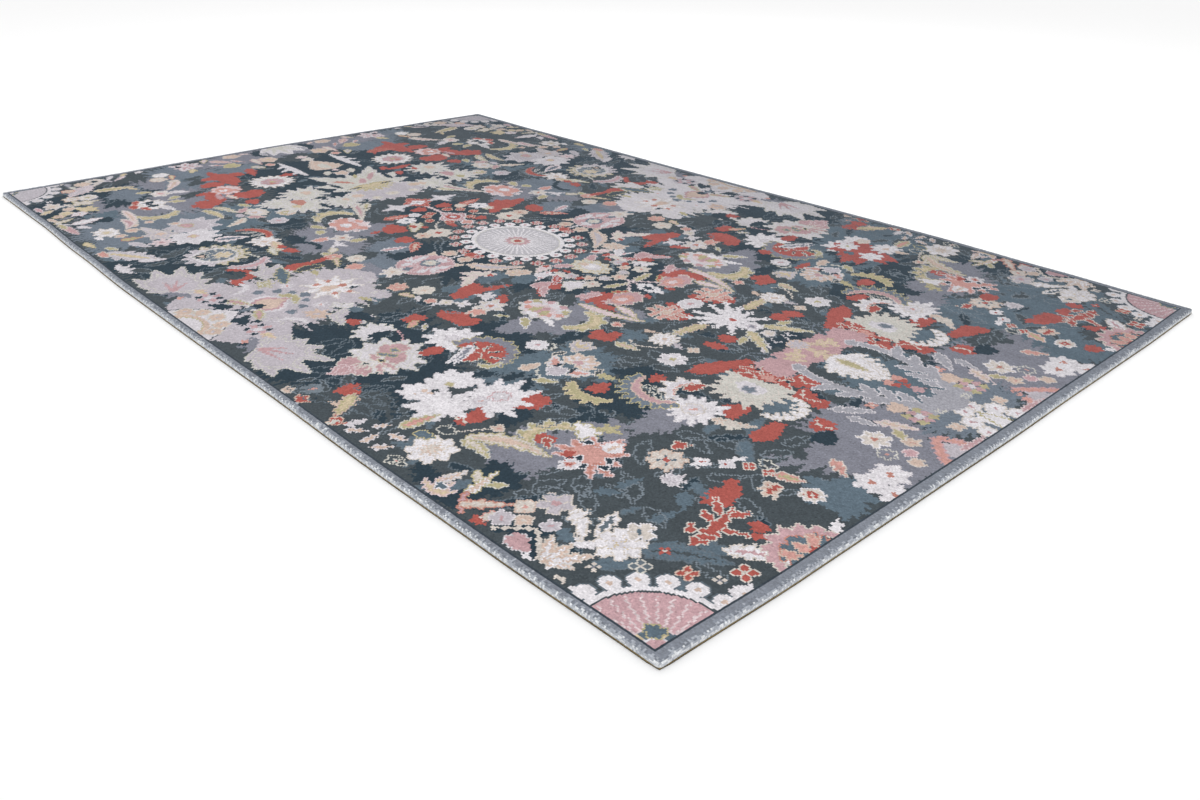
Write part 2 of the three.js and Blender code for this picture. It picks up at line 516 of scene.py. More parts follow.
# Two white maple leaves with red behind them, on the near side only
def mapleLeaves():
    patch(74.4, -56.4, 3.2, 3.8, 15, "red")
    patch(71.8, -67.6, 2.3, 4.6, 5, "red")
    patch(76.4, -62.7, 2.2, 3.6, 0, "navy")
    for x, y, fingers in ((68.2, -61.5, ((100, 10.4), (66, 10.2), (130, 8.6), (160, 8), (30, 9), (-8, 9),
            (-40, 8), (200, 6), (250, 6))), (64.4, -70.5, ((95, 9), (140, 9), (180, 8.6), (50, 8),
            (10, 7), (225, 7.6), (270, 6.4), (315, 6)))):
        for turn, length in fingers:
            c, s = math.cos(math.radians(turn)), math.sin(math.radians(turn))
            leaf(x + 0.48 * length * c, y + 0.48 * length * s, length, 3.9, turn, "white", "mist",
                    teeth=3, depth=0.62, blunt=0.7)
        patch(x, y, 3.6, 3.6, 0, "white", uneven=0.05)
        for turn, length in fingers:
            c, s = math.cos(math.radians(turn)), math.sin(math.radians(turn))
            stem([(x + 2.2 * c, y + 2.2 * s), (x + 0.76 * length * c, y + 0.76 * length * s)],
                    "mist")
    flower(68.5, -59.5, 2, 6, "mist", "blush", heart="white")
    flower(67.6, -63.4, 1.4, 5, "mist", "lilac", heart="pink")
    stem([(69.8, -71.2), (71.4, -70.4), (72.8, -70.9)], "cream", width=0.3)


# The red cloud with white flowers that takes their place on the far side
def farRed():
    spray(66, 64.5, [(130, 9.5, 8), (178, 9.5, 8), (0, 11.5, 7), (-20, 11, 5), (-62, 11, 6),
            (-84, 11.5, 6), (-112, 8, 6), (-148, 9.5, 5), (80, 5, 5), (30, 6, 5)], "red")
    patch(64.4, 61, 1.6, 1.2, 0, "steel")
    star(61, 65.2, 3.2, 7, "white", "mist", heart="olive", depth=0.35)
    star(69.2, 71, 4.4, 9, "white", "mist", heart="peach", depth=0.38)
    star(70, 62.8, 3.4, 6, "white", "mist", heart="mist", uneven=0.15)
    star(61.4, 71.6, 2, 5, "cream", "peach")
    leaf(73.8, 71.6, 3.8, 1.6, 20, "peach", "cream")
    scatter(patch, (
        (51.3, 84.4, 2.4, 2, 0), (35, 46, 4.4, 2.2, -22), (38.6, 43.6, 2, 2, 0),
        (49.2, 44.6, 1.9, 1.7, 0), (62.4, 43.6, 1.1, 3, 0), (84.8, 36.4, 1.5, 2.2, 0),
        (105.4, 59.4, 2.1, 2.5, 0), (121.2, 57.6, 2.6, 3.4, -20), (121.4, 64.4, 1.5, 2.1, 0),
        (121.6, 69.6, 2, 1.6, 0), (113.6, 39.4, 2.6, 1.9, 20), (135.4, 48.6, 1.9, 2, 0),
    ), yarn="red", uneven=0.08)


def frontRight():
    flower(76.6, -81, 4.6, 8, "white", "cream", depth=0.38)
    spray(76.6, -81, [(angle, 3, 1) for angle in range(0, 360, 45)], "cream", core="peach")
    if not mirror["on"]:
        mapleLeaves()
    # Olive crescent with its leaf and red heart
    crescent(88.4, -62.8, 5.2, 2.8, 80, 300, "olive", "bone", "gold", teeth=8, depth=0.9)
    patch(86.9, -63.8, 2.1, 1.7, 20, "red")
    leaf(88.4, -64.6, 4, 1.4, -30, "red", "bone")
    spray(89.2, -57.2, [(35, 4, 1.7), (70, 3.6, 1.6), (110, 3.6, 1.6), (150, 4, 1.6), (5, 4, 1.6),
            (-40, 3.4, 1.5)], "white", "olive")
    spray(92, -53.8, [(30, 3.6, 1.6), (80, 3.6, 1.6), (130, 3, 1.4), (200, 3, 1.3)], "olive")
    # Pink palmette
    spray(96.4, -62, [(-165, 7.4, 3), (-140, 6.4, 2.6), (-40, 7.4, 3), (-15, 8.2, 3), (15, 6.8, 3),
            (165, 6.6, 3), (50, 7, 3.2), (130, 7, 3.2), (90, 8, 4.6)], "pink", "petal", "rust",
            blunt=0.7, teeth=2)
    patch(96.4, -61.4, 3.4, 2.8, 0, "pink")
    leaf(97.4, -56.8, 4.6, 4, 90, "white", "pink", "peach", teeth=0, vein=0.2)
    scatter(leaf, (
        (93, -59, 2.2, 1.4, 40), (100.2, -60.8, 2.2, 1.4, -40), (94.4, -64.6, 2.2, 1.4, 20),
        (98.2, -65.2, 2.2, 1.4, 60), (101.4, -62.8, 2.2, 1.4, 0), (96, -63.6, 2.2, 1.4, 90),
    ), yarn="navy", rim="white")
    patch(93.6, -64.2, 1, 1.2, 0, "red")
    patch(95.4, -65.6, 0.9, 0.7, 0, "red")
    star(96.4, -66.4, 2, 7, "mist", "white", ring="pink", heart="red")
    # Curved double leaf below it
    leaf(84.8, -70.6, 17.4, 4.4, 22, "cream", "olive", "peach", bend=1.9, teeth=6, depth=0.45)
    leaf(81.4, -75, 8.4, 3.2, -4, "olive", "bone", "cream", bend=0.5, teeth=4)
    flower(78.4, -67.6, 1.2, 5, "peach", "cream", heart="pink")
    stem([(77.6, -68.6), (76, -71.2), (74.2, -74.6)], "cream", width=0.22)
    scatter(ghost, (
        (72.9, -75, 4.2, 3, 10, "bone"), (75.9, -87.6, 4.6, 3, 0, "bone"), (83, -59, 6, 3, 80),
        (82, -54, 5, 3, 20), (99, -73, 6, 3.4, 70), (99.6, -78, 5, 3, 10), (79, -55, 5, 2.6, 60),
    ))
    leaf(71.6, -78.9, 4.4, 2.2, 10, "steel", "olive")
    leaf(66.5, -76.6, 8.4, 3.6, 85, "olive", "bone", "pink", teeth=4)
    scatter(leaf, (
        (63.6, -82.6, 4, 2.2, 60), (69.2, -82.9, 5, 2.6, 15), (62, -87, 5, 2.6, 40),
        (66, -86.6, 5, 2.4, 100), (70.2, -86.8, 4.4, 2.6, 50),
    ), yarn="mist", core="peach", teeth=3)
    cross(75.9, -87.6, 1, "bone", heart="pink")
    leaf(91.2, -81, 9.4, 2.4, 104, "white", "olive", "peach", teeth=3, depth=0.6)
    leaf(93.6, -79.4, 3.6, 1.5, 50, "olive", "bone")
    leaf(88.9, -80.2, 3.6, 1.5, 140, "cream", "olive")
    band([(92, -85), (93.6, -87), (95.6, -88.6)], "blush", "rust", 0.3)
    leaf(86.4, -83.4, 5.6, 2.2, 84, "mist", "cream", "peach", teeth=3)
    spray(88.8, -88.8, [(100, 4.6, 1.8), (135, 5.6, 2.2), (165, 5.6, 1.6), (60, 3.6, 1.5)], "peach",
            "petal", "gold", teeth=2)
    patch(87.4, -86.6, 1.1, 0.7, 0, "steel", "white")
    leaf(96.6, -84.6, 9.4, 2.6, 47, "peach", "rust", "cream", teeth=4)
    leaf(99.6, -86.4, 4, 1.4, 100, "cream", "pink")


# The pattern's middle: a ribbed disc in a white band with round lobes, and a ring of rosettes
medallion = {
    "place": (-1.2, 0.9),
    "disc": (12.5, 10.4),          # half of its length and half of its width
    "band": (13.9, 11.7),
    "lobes": 20,
    "lobeReach": (15.5, 13.2),
    "lobeRadius": 1.6,
    "lobeSpot": 0.56,
    "rosettes": 20,
    "rosetteReach": (19.2, 15.9),
    "ribAngle": 9,                 # degrees from rib to rib
    "heart": (0.33, 0.17, 0.095),  # shares of the disc: its pink star, its ring and its red spot
}


def paintMedallion():
    x, y = medallion["place"]
    for index in range(medallion["rosettes"]):
        turn = 2 * math.pi * (index + 0.5) / medallion["rosettes"]
        placeX = x + medallion["rosetteReach"][0] * math.cos(turn)
        placeY = y + medallion["rosetteReach"][1] * math.sin(turn)
        cross(placeX, placeY, 1.55, "rose", "cream", turn=45)
        for aside in (-0.75, 0, 0.75):
            stem([(placeX - 0.8 + aside, placeY + 0.7 + aside),
                    (placeX + 0.8 + aside, placeY - 0.7 + aside)], "red", width=0.16)
    area, u, v = near(x, y, 18, smooth=True)
    lobes = np.hypot(u / medallion["band"][0], v / medallion["band"][1]) < 1
    spots = np.zeros(u.shape, bool)
    for index in range(medallion["lobes"]):
        turn = 2 * math.pi * index / medallion["lobes"] + 0.03
        away = np.hypot(u - medallion["lobeReach"][0] * math.cos(turn),
                v - medallion["lobeReach"][1] * math.sin(turn))
        lobes |= away < medallion["lobeRadius"]
        spots |= away < medallion["lobeSpot"]
    tie(area, grown(lobes), "navy")
    tie(area, lobes, "white")
    tie(area, spots, "rose")
    disc = np.hypot(u / medallion["disc"][0], v / medallion["disc"][1])
    angle = np.degrees(np.arctan2(v * 1.2, u))
    tie(area, disc < 1, "discGrey", rim="bone")
    ribs = zigzag(angle / medallion["ribAngle"] + 0.06 * np.sin(disc * 17))
    tie(area, (disc < 0.93) & (disc > 0.3) & ((1 - ribs) * disc < 0.24), "white")
    pinkStar, ring, spot = medallion["heart"]
    tie(area, disc < pinkStar * (0.72 + 0.28 * zigzag(angle / 30)), "rose", rim="mist")
    tie(area, disc < ring, "cream")
    tie(area, disc < spot, "red")
    for way in (-1, 1):
        tulip(x + 0.6, y + way * 16.4, 5, 3.4, 90 - way * 90, "red", "pink")


# The middle line from the medallion to the right edge
def middleLineRight():
    patch(38, 2.6, 12, 10, 0, "navy")
    patch(56, 3, 4, 7, 0, "slate")
    patch(20.6, 2, 3.4, 9, 0, "steel")
    patch(88.4, 2.8, 2.6, 7, 0, "navy")
    patch(72, 2.8, 11, 10, 0, "slate")
    patch(112, 3, 14, 8.4, 0, "steel")
    patch(133, 3, 7, 14, 0, "flint")
    ghost(56, 10, 6, 3, 80)
    ghost(55.6, -4, 6, 3, 90)
    ghost(86, 12.4, 6, 3, 60)
    ghost(84, -8, 6, 3, 30)
    ghost(66, 14, 6, 3, -30)
    ghost(64, -9, 5, 3, 30)
    # Cream flower beside the medallion and the branch with its small flowers
    leaf(22.6, 5.8, 7, 2.8, -58, "rose", "petal")
    leaf(22.2, -2, 7, 2.8, 58, "rose", "petal")
    star(27, 2.2, 6.4, 10, "bone", "gold", ring="mist", heart="white", depth=0.22, squash=0.72)
    patch(24.4, 2.2, 1.4, 1, 0, "peach")
    scatter(stem, (
        (((39.4, 2.4), (42, 2.6), (45.4, 2.4)), "petal"),
        (((41, 2.2), (43.6, -0.6), (46.4, -3)), "petal"), (((41, 2.6), (43.2, 4.6), (46, 7)), "petal"),
        (((41, 3.4), (40.6, 6), (39.6, 9)), "cream"), (((41, 1.4), (41, -2), (39.6, -5)), "cream"),
        (((29, 8), (31, 6), (33.4, 4)), "faint"), (((30, -3), (32, -1), (34, 0.4)), "faint"),
    ), width=0.3)
    leaf(40.9, 7, 7, 2.4, 100, "olive", "cream")
    leaf(40.7, -2.2, 6.2, 2.2, 72, "olive", "cream")
    scatter(star, (
        (37, 2.5, 2.1, 5, "peach"), (32.7, -3.7, 1.6, 5, "peach"), (36.3, -6, 2.1, 6, "cream"),
        (36.8, 10.5, 2.3, 6, "cream"), (33, 8.2, 1.6, 5, "peach"),
    ), rim="cream", heart="pink", uneven=0.08)
    scatter(star, (
        (35.4, 5.5, 1.6, 5, "lilac", "cream", None, "mist"),
        (35.3, -0.9, 1.7, 5, "lilac", "cream", None, "mist"),
        (28.7, -6, 1.9, 5, "lilac", "cream", None, "rose"),
        (29.4, 9.8, 2, 5, "lilac", "cream", None, "rose"),
        (20.3, 18.2, 2.4, 6, "peach", "cream", None, "cream"),
        (18.8, -13.4, 2.2, 6, "peach", "cream", None, "cream"),
    ), uneven=0.08)
    leaf(48, 2.6, 8.4, 4.8, 0, "white", "mist", teeth=3)
    patch(47.2, 2.5, 1.5, 0.9, 0, "navy")
    for way in (1, -1):
        line = 2.3
        palmette(48.3, line + way * 8.6, 8, 10.6, 0, "rose", "pink", "petal", "cream", teeth=9)
        patch(44.2, line + way * 11.4, 1.9, 2.6, -way * 20, "red")
        leaf(48, line + way * 14.8, 10.6, 2.2, way * 14, "red", bend=way * 0.8)
        leaf(44.4, line + way * 6.6, 5, 1.3, -way * 55, "red", "olive")
        patch(51, line + way * 3.8, 1.5, 0.8, way * 20, "red")
        leaf(41.4, line + way * 13.6, 6.6, 2.6, -way * 60, "rose", "petal")
        # White leaves with red between them
        leaf(20, line + way * 10.4, 6.4, 3.4, way * 70, "petal", "cream")
        leaf(23.6, line + way * 12.8, 5, 2.8, -way * 50, "mist", "white")
        leaf(26.6, line + way * 9.6, 5.4, 2.2, way * 10, "cream", "mist")
        patch(23, line + way * 9, 0.9, 1.3, 0, "red")
        patch(19.2, line + way * 8.6, 0.8, 0.8, 0, "red")
        patch(25.6, line + way * 7, 1.3, 0.7, 0, "red")
        patch(31.2, line + way * 7.8, 0.8, 1.2, way * 20, "red")
        # Square flowers of crossing bars on red
        line = 2.9
        patch(63.6, line + way * 7.6, 3.2, 3, 0, "red")
        patch(59.6, line + way * 3.8, 2.8, 1.6, 0, "red")
        for aside in (-1.2, 1.2):
            band([(56.6, line + way * 8.2 + aside), (64.6, line + way * 8.2 + aside)], "pink", "cream",
                    0.6)
        for aside in (-1.2, 1.2):
            band([(60.6 + aside, line + way * 8.2 - 3.6), (60.6 + aside, line + way * 8.2 + 3.6)], "pink",
                    "cream", 0.6)
        patch(60.6, line + way * 8.2, 1, 1, 45, "peach", "cream", uneven=0)
        # Olive leaves of the snowflake flower
        leaf(70.9, line + way * 10.8, 8.6, 3.2, way * 98, "olive", "peach", "gold", teeth=3)
        leaf(85, line + way * 5, 12, 3.2, way * 31, "olive", "bone", "gold", teeth=4, depth=0.6)
        leaf(82.6, line + way * 7.4, 4, 1.6, way * 70, "olive", "bone")
        patch(79.8, line + way * 9, 2.3, 2, 0, "red", uneven=0.08)
        patch(81, line + way * 13.4, 2.3, 1.3, 0, "red", uneven=0.08)
    arms = ((90, 6, 1.9), (52, 7.6, 2), (22, 5, 1.7), (118, 7.4, 1.8), (140, 9.8, 2), (163, 9.2, 2))
    for way in (1, -1):
        for turn, length, width in arms:
            c, s = math.cos(math.radians(turn)), math.sin(math.radians(turn))
            leaf(73.7 + 0.52 * length * c, 2.8 + way * 0.52 * length * s, length, width, way * turn,
                    "white", "mist", teeth=3, depth=0.6, blunt=0.8)
            cross(73.7 + length * c, 2.8 + way * length * s, 1.1, "white", turn=turn)
    flower(73.7, 2.8, 1.8, 6, "white")
    patch(73.7, 2.7, 0.9, 0.8, 0, "red")
    flower(79, 3, 2.4, 4, "white", "mist", ring="lilac", heart="mauve", turn=45)
    star(83.9, 2.9, 1.7, 5, "cream", "mist", heart="peach")
    flower(60.8, 2.7, 2.7, 5, "mist", "white", heart="rose", depth=0.12, squash=1.15)
    scatter(stem, (
        (((86, 6.6), (87.4, 5.4), (88.4, 6.4)),), (((86, 4.6), (87.4, 4), (89, 3.4)),),
        (((86, 1.2), (87.6, 0.2), (88.6, 1.2)),), (((85.8, -1), (87.4, -1.8), (89.4, -3.4)),),
        (((88, -4.4), (90.6, -7), (92.6, -8.6)),),
    ), yarn="mist", width=0.22)
    # Pink band with its branching ornament
    patch(95.8, 2.8, 5, 8.6, 0, "rose", uneven=0.06)
    for way in (1, -1):
        patch(96, 2.8 + way * 9.4, 4.4, 6.4, -way * 16, "rose", uneven=0.08)
        leaf(90.4, 2.8 + way * 10, 6.4, 2, -way * 30, "slate", "flint")
    for turn, reach in ((0, 7.4), (58, 6.6), (-58, 6.6)):
        c, s = math.cos(math.radians(turn)), math.sin(math.radians(turn))
        placeX, placeY = 92 + 1.4 * c, 2.8 + 1.4 * s
        band([(placeX, placeY), (placeX + reach * c, placeY + reach * s)], "peach", "gold", 0.4)
        for share in (0.5, 0.85):
            for aside in (-1, 1):
                barb = math.radians(turn + aside * 62)
                band([(placeX + share * reach * c, placeY + share * reach * s),
                        (placeX + share * reach * c + 1.9 * math.cos(barb),
                        placeY + share * reach * s + 1.9 * math.sin(barb))], "peach", "gold", 0.3)
    flower(91.8, 2.8, 2.3, 8, "lilac", "peach", depth=0.12)
    # The pale wreath round the white drop
    for way in (1, -1):
        line = 3.1
        band([(x, line + way * y) for x, y in ((98.8, 9.4), (103, 10.6), (108, 10.8), (113, 10),
                (118, 8.8), (123, 7.6), (126.4, 5), (127.4, 1))], "ash", "mist", 0.8)
        patch(98.9, line + way * 9.2, 1.4, 1.3, 0, "ash", "mist", uneven=0.05)
        for x, y, length, width, turn in ((108, 12.6, 6.4, 2.1, 118), (113, 11.8, 5.6, 1.9, 130),
                (118, 10.2, 5, 1.8, 140), (114.6, 7.4, 6, 2, 200), (117.8, 5.9, 6.4, 2, 206),
                (121.4, 4.7, 6, 2, 196), (124.6, 2.4, 4.6, 2, 190), (123.4, 6.4, 8, 3, 150)):
            leaf(x, line + way * y, length, width, way * turn, "ash", "mist", teeth=0,
                    blunt=0.9)
        band([(x, line + way * y) for x, y in ((109, 10.7), (113, 9.9), (118, 8.7), (123, 7.5))],
                "ash", "ash", 0.6)
        patch(127, line + way * 4.4, 2.6, 4.6, way * 12, "ash", uneven=0.1)
        # Checker flower, its peach leaf, and small stars
        patch(122.4, line + way * 9.6, 2.2, 2, 0, "peach")
        for index, yarn in enumerate(("olive", "rose", "olive", "rose", "mist",
                "rose", "olive", "rose", "olive")):
            flower(125.4 + 1.75 * (index % 3), line + way * 9.4 + 1.75 * (index // 3 - 1), 1.02, 4, yarn,
                    depth=0.1)
        for index in range(4):
            cross(128 + 1.1 * (index % 2), line + way * 4.7 + 1.1 * (index // 2) - 0.5, 0.55, "bone")
        star(133.8, line + way * 7.9, 1.5, 4, "peach", "cream", heart="cream", turn=45)
        flower(134.9, line + way * 4.1, 2, 6, "white", "cream", heart="rose", depth=0.1)
        flower(138.8, line + way * 5.4, 1.9, 6, "white", "cream", heart="rose", depth=0.1)
        flower(131.6, line + way * 1.3, 1.9, 6, "white", "cream", heart="rose", depth=0.1)
        leaf(139, line + way * 11, 8, 1.4, 88, "rose", "petal")
        patch(115.2, line + way * 1.5, 1.5, 1.2, way * 30, "pink")
        patch(116.9, line + way * 1.3, 0.9, 1, 0, "red")
    patch(127.6, 3.1, 3.4, 4, 0, "ash", uneven=0.08)
    patch(137, 3.2, 3.4, 2.6, 0, "white", uneven=0.05)
    for way in (1, -1):
        stem([(133.6, 3.3), (136, 3.3 + way * 1.1), (139.4, 3.3 + way * 2)], "olive", width=0.18)
    patch(118.4, 3.3, 0.8, 0.8, 0, "red")
    tulip(121, 3.2, 4.6, 3.4, -90, "rose")
    for way in (1, -1):
        for x, y, length, turn in ((103.6, 4.4, 5.4, 62), (106, 4, 5.6, 52), (108, 3.2, 5.6, 42),
                (109.8, 2.2, 5.4, 32), (111.4, 1.2, 5, 20)):
            leaf(x, 3 + way * y, length, 2, way * turn, "white", "cream", teeth=0, blunt=0.8)
    leaf(107.6, 3, 14.4, 8, 0, "white", "cream", teeth=0, blunt=0.62)
    patch(104, 3, 3.8, 4.2, 0, "white", uneven=0)
    leaf(106, 3, 9.6, 3.2, 0, "cream", core="olive", teeth=0, vein=0.62)


# The lilac cloud palmette at the foot of the long middle, tip inwards, and paler in the far half
def cloudPalmette():
    body = "mist" if mirror["on"] else "lilac"
    for x, y, halfLong, halfWide, turn in ((-4, -80, 21, 11, 0), (-4, -66, 14, 10, 0),
            (-4, -54, 12, 8, 0), (-6, -47, 7, 5, 0), (7, -48.5, 4, 2.6, 20)):
        patch(x, y, halfLong, halfWide, turn, body, uneven=0.1)
    for yarn, wider in (("bone", 0.4), (body, 0)):
        for x, y, radius, points, squash in ((-4, -66, 18, 24, 0.62), (-4, -54, 16.4, 22, 0.62)):
            star(x, y, radius + wider, points, yarn, depth=0.2, squash=squash)
    for way in (1, -1):
        blades = [(75, 11, 7), (52, 14, 7), (30, 18, 8), (8, 18, 9), (-14, 15, 7), (100, 9, 7)]
        blades = [(angle if way == 1 else 180 - angle, length, width) for angle, length, width in blades]
        spray(-4 + way * 21.5, -84, blades, body, "bone", teeth=3)
        spray(-4 + way * 21.5, -84, [(angle, length * 0.5, 1) for angle, length, width in blades[1:4]],
                "rose")
        spray(-4 + way * 15, -61, [(90 - way * 60, 9, 6), (90 - way * 85, 10, 6), (90 - way * 115, 8, 5),
                (90 - way * 30, 8, 5)], body, "bone", teeth=3)
        leaf(-4 + way * 17, -69.5, 8, 5, 90 - way * 115, body)
    # Gaps between its wings
    patch(-22, -53.4, 2.6, 3.4, 0, "red")
    patch(-19.4, -52, 1.4, 3.6, 0, "slate", "olive")
    leaf(-18.4, -59.6, 12.5, 3.8, -22, "steel", "olive", blunt=0.9)
    patch(-22.6, -67, 1.2, 2.6, 10, "red")
    patch(-21.6, -70, 2.4, 1.3, 0, "red")
    patch(15.2, -53.6, 3, 4.6, 0, "slate")
    patch(16.4, -59, 3.4, 2.6, 20, "navy")
    patch(12.2, -57.4, 2, 1.4, 0, "steel")
    patch(14.6, -69.4, 2.2, 1.3, 0, "navy")
    leaf(16.8, -66.8, 5, 2, 60, "navy")
    patch(18.3, -61.5, 2, 1.5, 0, "red")
    # Upper flower
    for turn in range(-20, 340, 40):
        c, s = math.cos(math.radians(turn)), math.sin(math.radians(turn))
        leaf(-3.8 + 4.2 * c, -54.4 + 4.2 * s, 7.2, 3, turn, "white", "cream", teeth=3, depth=0.6)
    patch(-3.8, -54.4, 3, 3, 0, "white", uneven=0.05)
    patch(-3.6, -55.2, 1.5, 2.2, 0, "peach", "cream")
    scatter(patch, (
        (-8, -53, 0.8, 0.8), (-3.2, -51.8, 1.1, 1.1), (1.4, -52.5, 0.8, 0.8), (-7.5, -56.2, 0.9, 0.9),
        (0.3, -55.8, 0.8, 0.8),
    ), turn=0, yarn="rust")
    leaf(-15, -52.4, 4.4, 1.7, -15, "olive")
    leaf(8.2, -52.2, 4.4, 1.7, 18, "olive")
    patch(-0.3, -50.4, 0.8, 1.1, 0, "navy")
    for x, y, radius in ((-3.5, -61.5, 1.5), (-6.7, -63.2, 1.2), (-0.3, -63, 1.1), (-9.8, -65.4, 1.3),
            (2.6, -65.4, 1.2), (-12, -69, 1.4), (4, -69, 1.3)):
        patch(x, y, radius, radius * 0.9, -20, "flint")
    star(-11.6, -62, 1.8, 8, "mist", heart="pink")
    star(4.2, -61.8, 1.8, 8, "mist", heart="pink")
    spray(-16, -65.6, [(10, 3.4, 1.7), (70, 2.8, 1.6), (130, 3.6, 1.8), (190, 3, 1.6), (250, 2.2, 1.6),
            (310, 3, 1.6)], "olive", core="bone")
    spray(9, -65.3, [(0, 3.8, 2), (51, 3.4, 1.9), (103, 3.4, 1.9), (154, 3.4, 1.9), (205, 3.8, 2),
            (257, 2.8, 1.9), (308, 3, 1.9)], "peach")
    patch(8.9, -65.4, 0.7, 0.7, 0, "lilac")
    spray(8.2, -58.6, [(30, 3, 1.3), (75, 2.6, 1.2), (190, 3.2, 1.3), (235, 2.2, 1.2)], "mist",
            "bone")
    crescent(10.6, -73.4, 4, 1.4, 60, 200, "mist")
    crescent(-18.6, -73.4, 4, 1.4, -20, 120, "mist")
    # The pointed dome with its rings, and the arch of small flowers at its foot
    leaf(-3.6, -66.2, 8, 3.4, 0, "olive", "bone", bend=1.8)
    for yarn, size in (("mist", 1.24), ("rose", 1), ("peach", 0.76)):
        patch(-4, -70.8, 4.3 * size, 3.6 * size, 0, yarn, uneven=0.02)
        leaf(-4, -68.4, 6.6 * size, 5 * size, 90, yarn, teeth=0)
    patch(-4.1, -73.2, 1.6, 1.6, 45, "navy", uneven=0.05)
    for way in (1, -1):
        leaf(-4 + way * 5, -75.4, 7.4, 3, -way * 24, "olive", "bone", "rose", teeth=4)
        crescent(-4 + way * 2.8, -80.4, 4.6, 1.1, 90 if way == 1 else 0, 180 if way == 1 else 90, "navy")
        patch(-4 + way * 5.6, -79.3, 3, 1.3, -way * 35, "navy")
        patch(-4 + way * 8.3, -77.7, 1.3, 1.1, 0, "navy")
        patch(-4 + way * 4, -81, 1.2, 1.6, way * 30, "navy")
    stem([(-4, -74.6), (-4, -76), (-4.1, -77.6)], "flint", width=0.8)
    area, u, v = near(-4.3, -89.4, 13)
    dome = (np.abs(u) < 10.4 - 0.6 * np.maximum(v, 0) - 0.028 * np.maximum(v, 0) ** 2) & (v < 11)
    tie(area, grown(dome), "mist", rim="navy")
    tie(area, np.hypot(u / 7.4, v / 3.8) < 1, "peach")
    scatter(flower, (
        (-12, -87, 1.9), (-8.9, -84.2, 1.8), (-4.1, -82.9, 1.9), (0.4, -84, 1.8), (3, -87, 1.8),
    ), petals=6, yarn="peach", rim="bone", heart="lilac", depth=0.15)
    patch(-4.4, -89.8, 5, 3, 0, "mist", "olive", uneven=0.03)
    # Checker flowers at its two sides
    for x, outside in ((-16.5, -1), (8.2, 1)):
        patch(x, -79.2, 4, 3.6, 0, "lilac", uneven=0.06)
        leaf(x + outside * 4.5, -79, 5, 3.2, 10, "peach", core="gold")
        for turn in range(4):
            c, s = math.cos(math.radians(90 * turn)), math.sin(math.radians(90 * turn))
            patch(x + 2 * c, -79.2 + 2 * s, 0.9, 0.7, 90 * turn, "rose")
            patch(x + 1.75 * (c - s), -79.2 + 1.75 * (s + c), 0.75, 0.75, 0, "navy")
        patch(x, -79.2, 0.8, 0.8, 0, "mist")
        crescent(x + outside * 4.4, -84.6, 2.4, 1.5, -70 if outside == 1 else 40,
                140 if outside == 1 else 250, "mauve")
        crescent(x + outside * 5, -88, 4.6, 1.7, 10 if outside == 1 else 70, 110 if outside == 1 else 170,
                "mauve")
        patch(x + outside * 4.2, -84.4, 0.9, 0.7, 0, "pink")


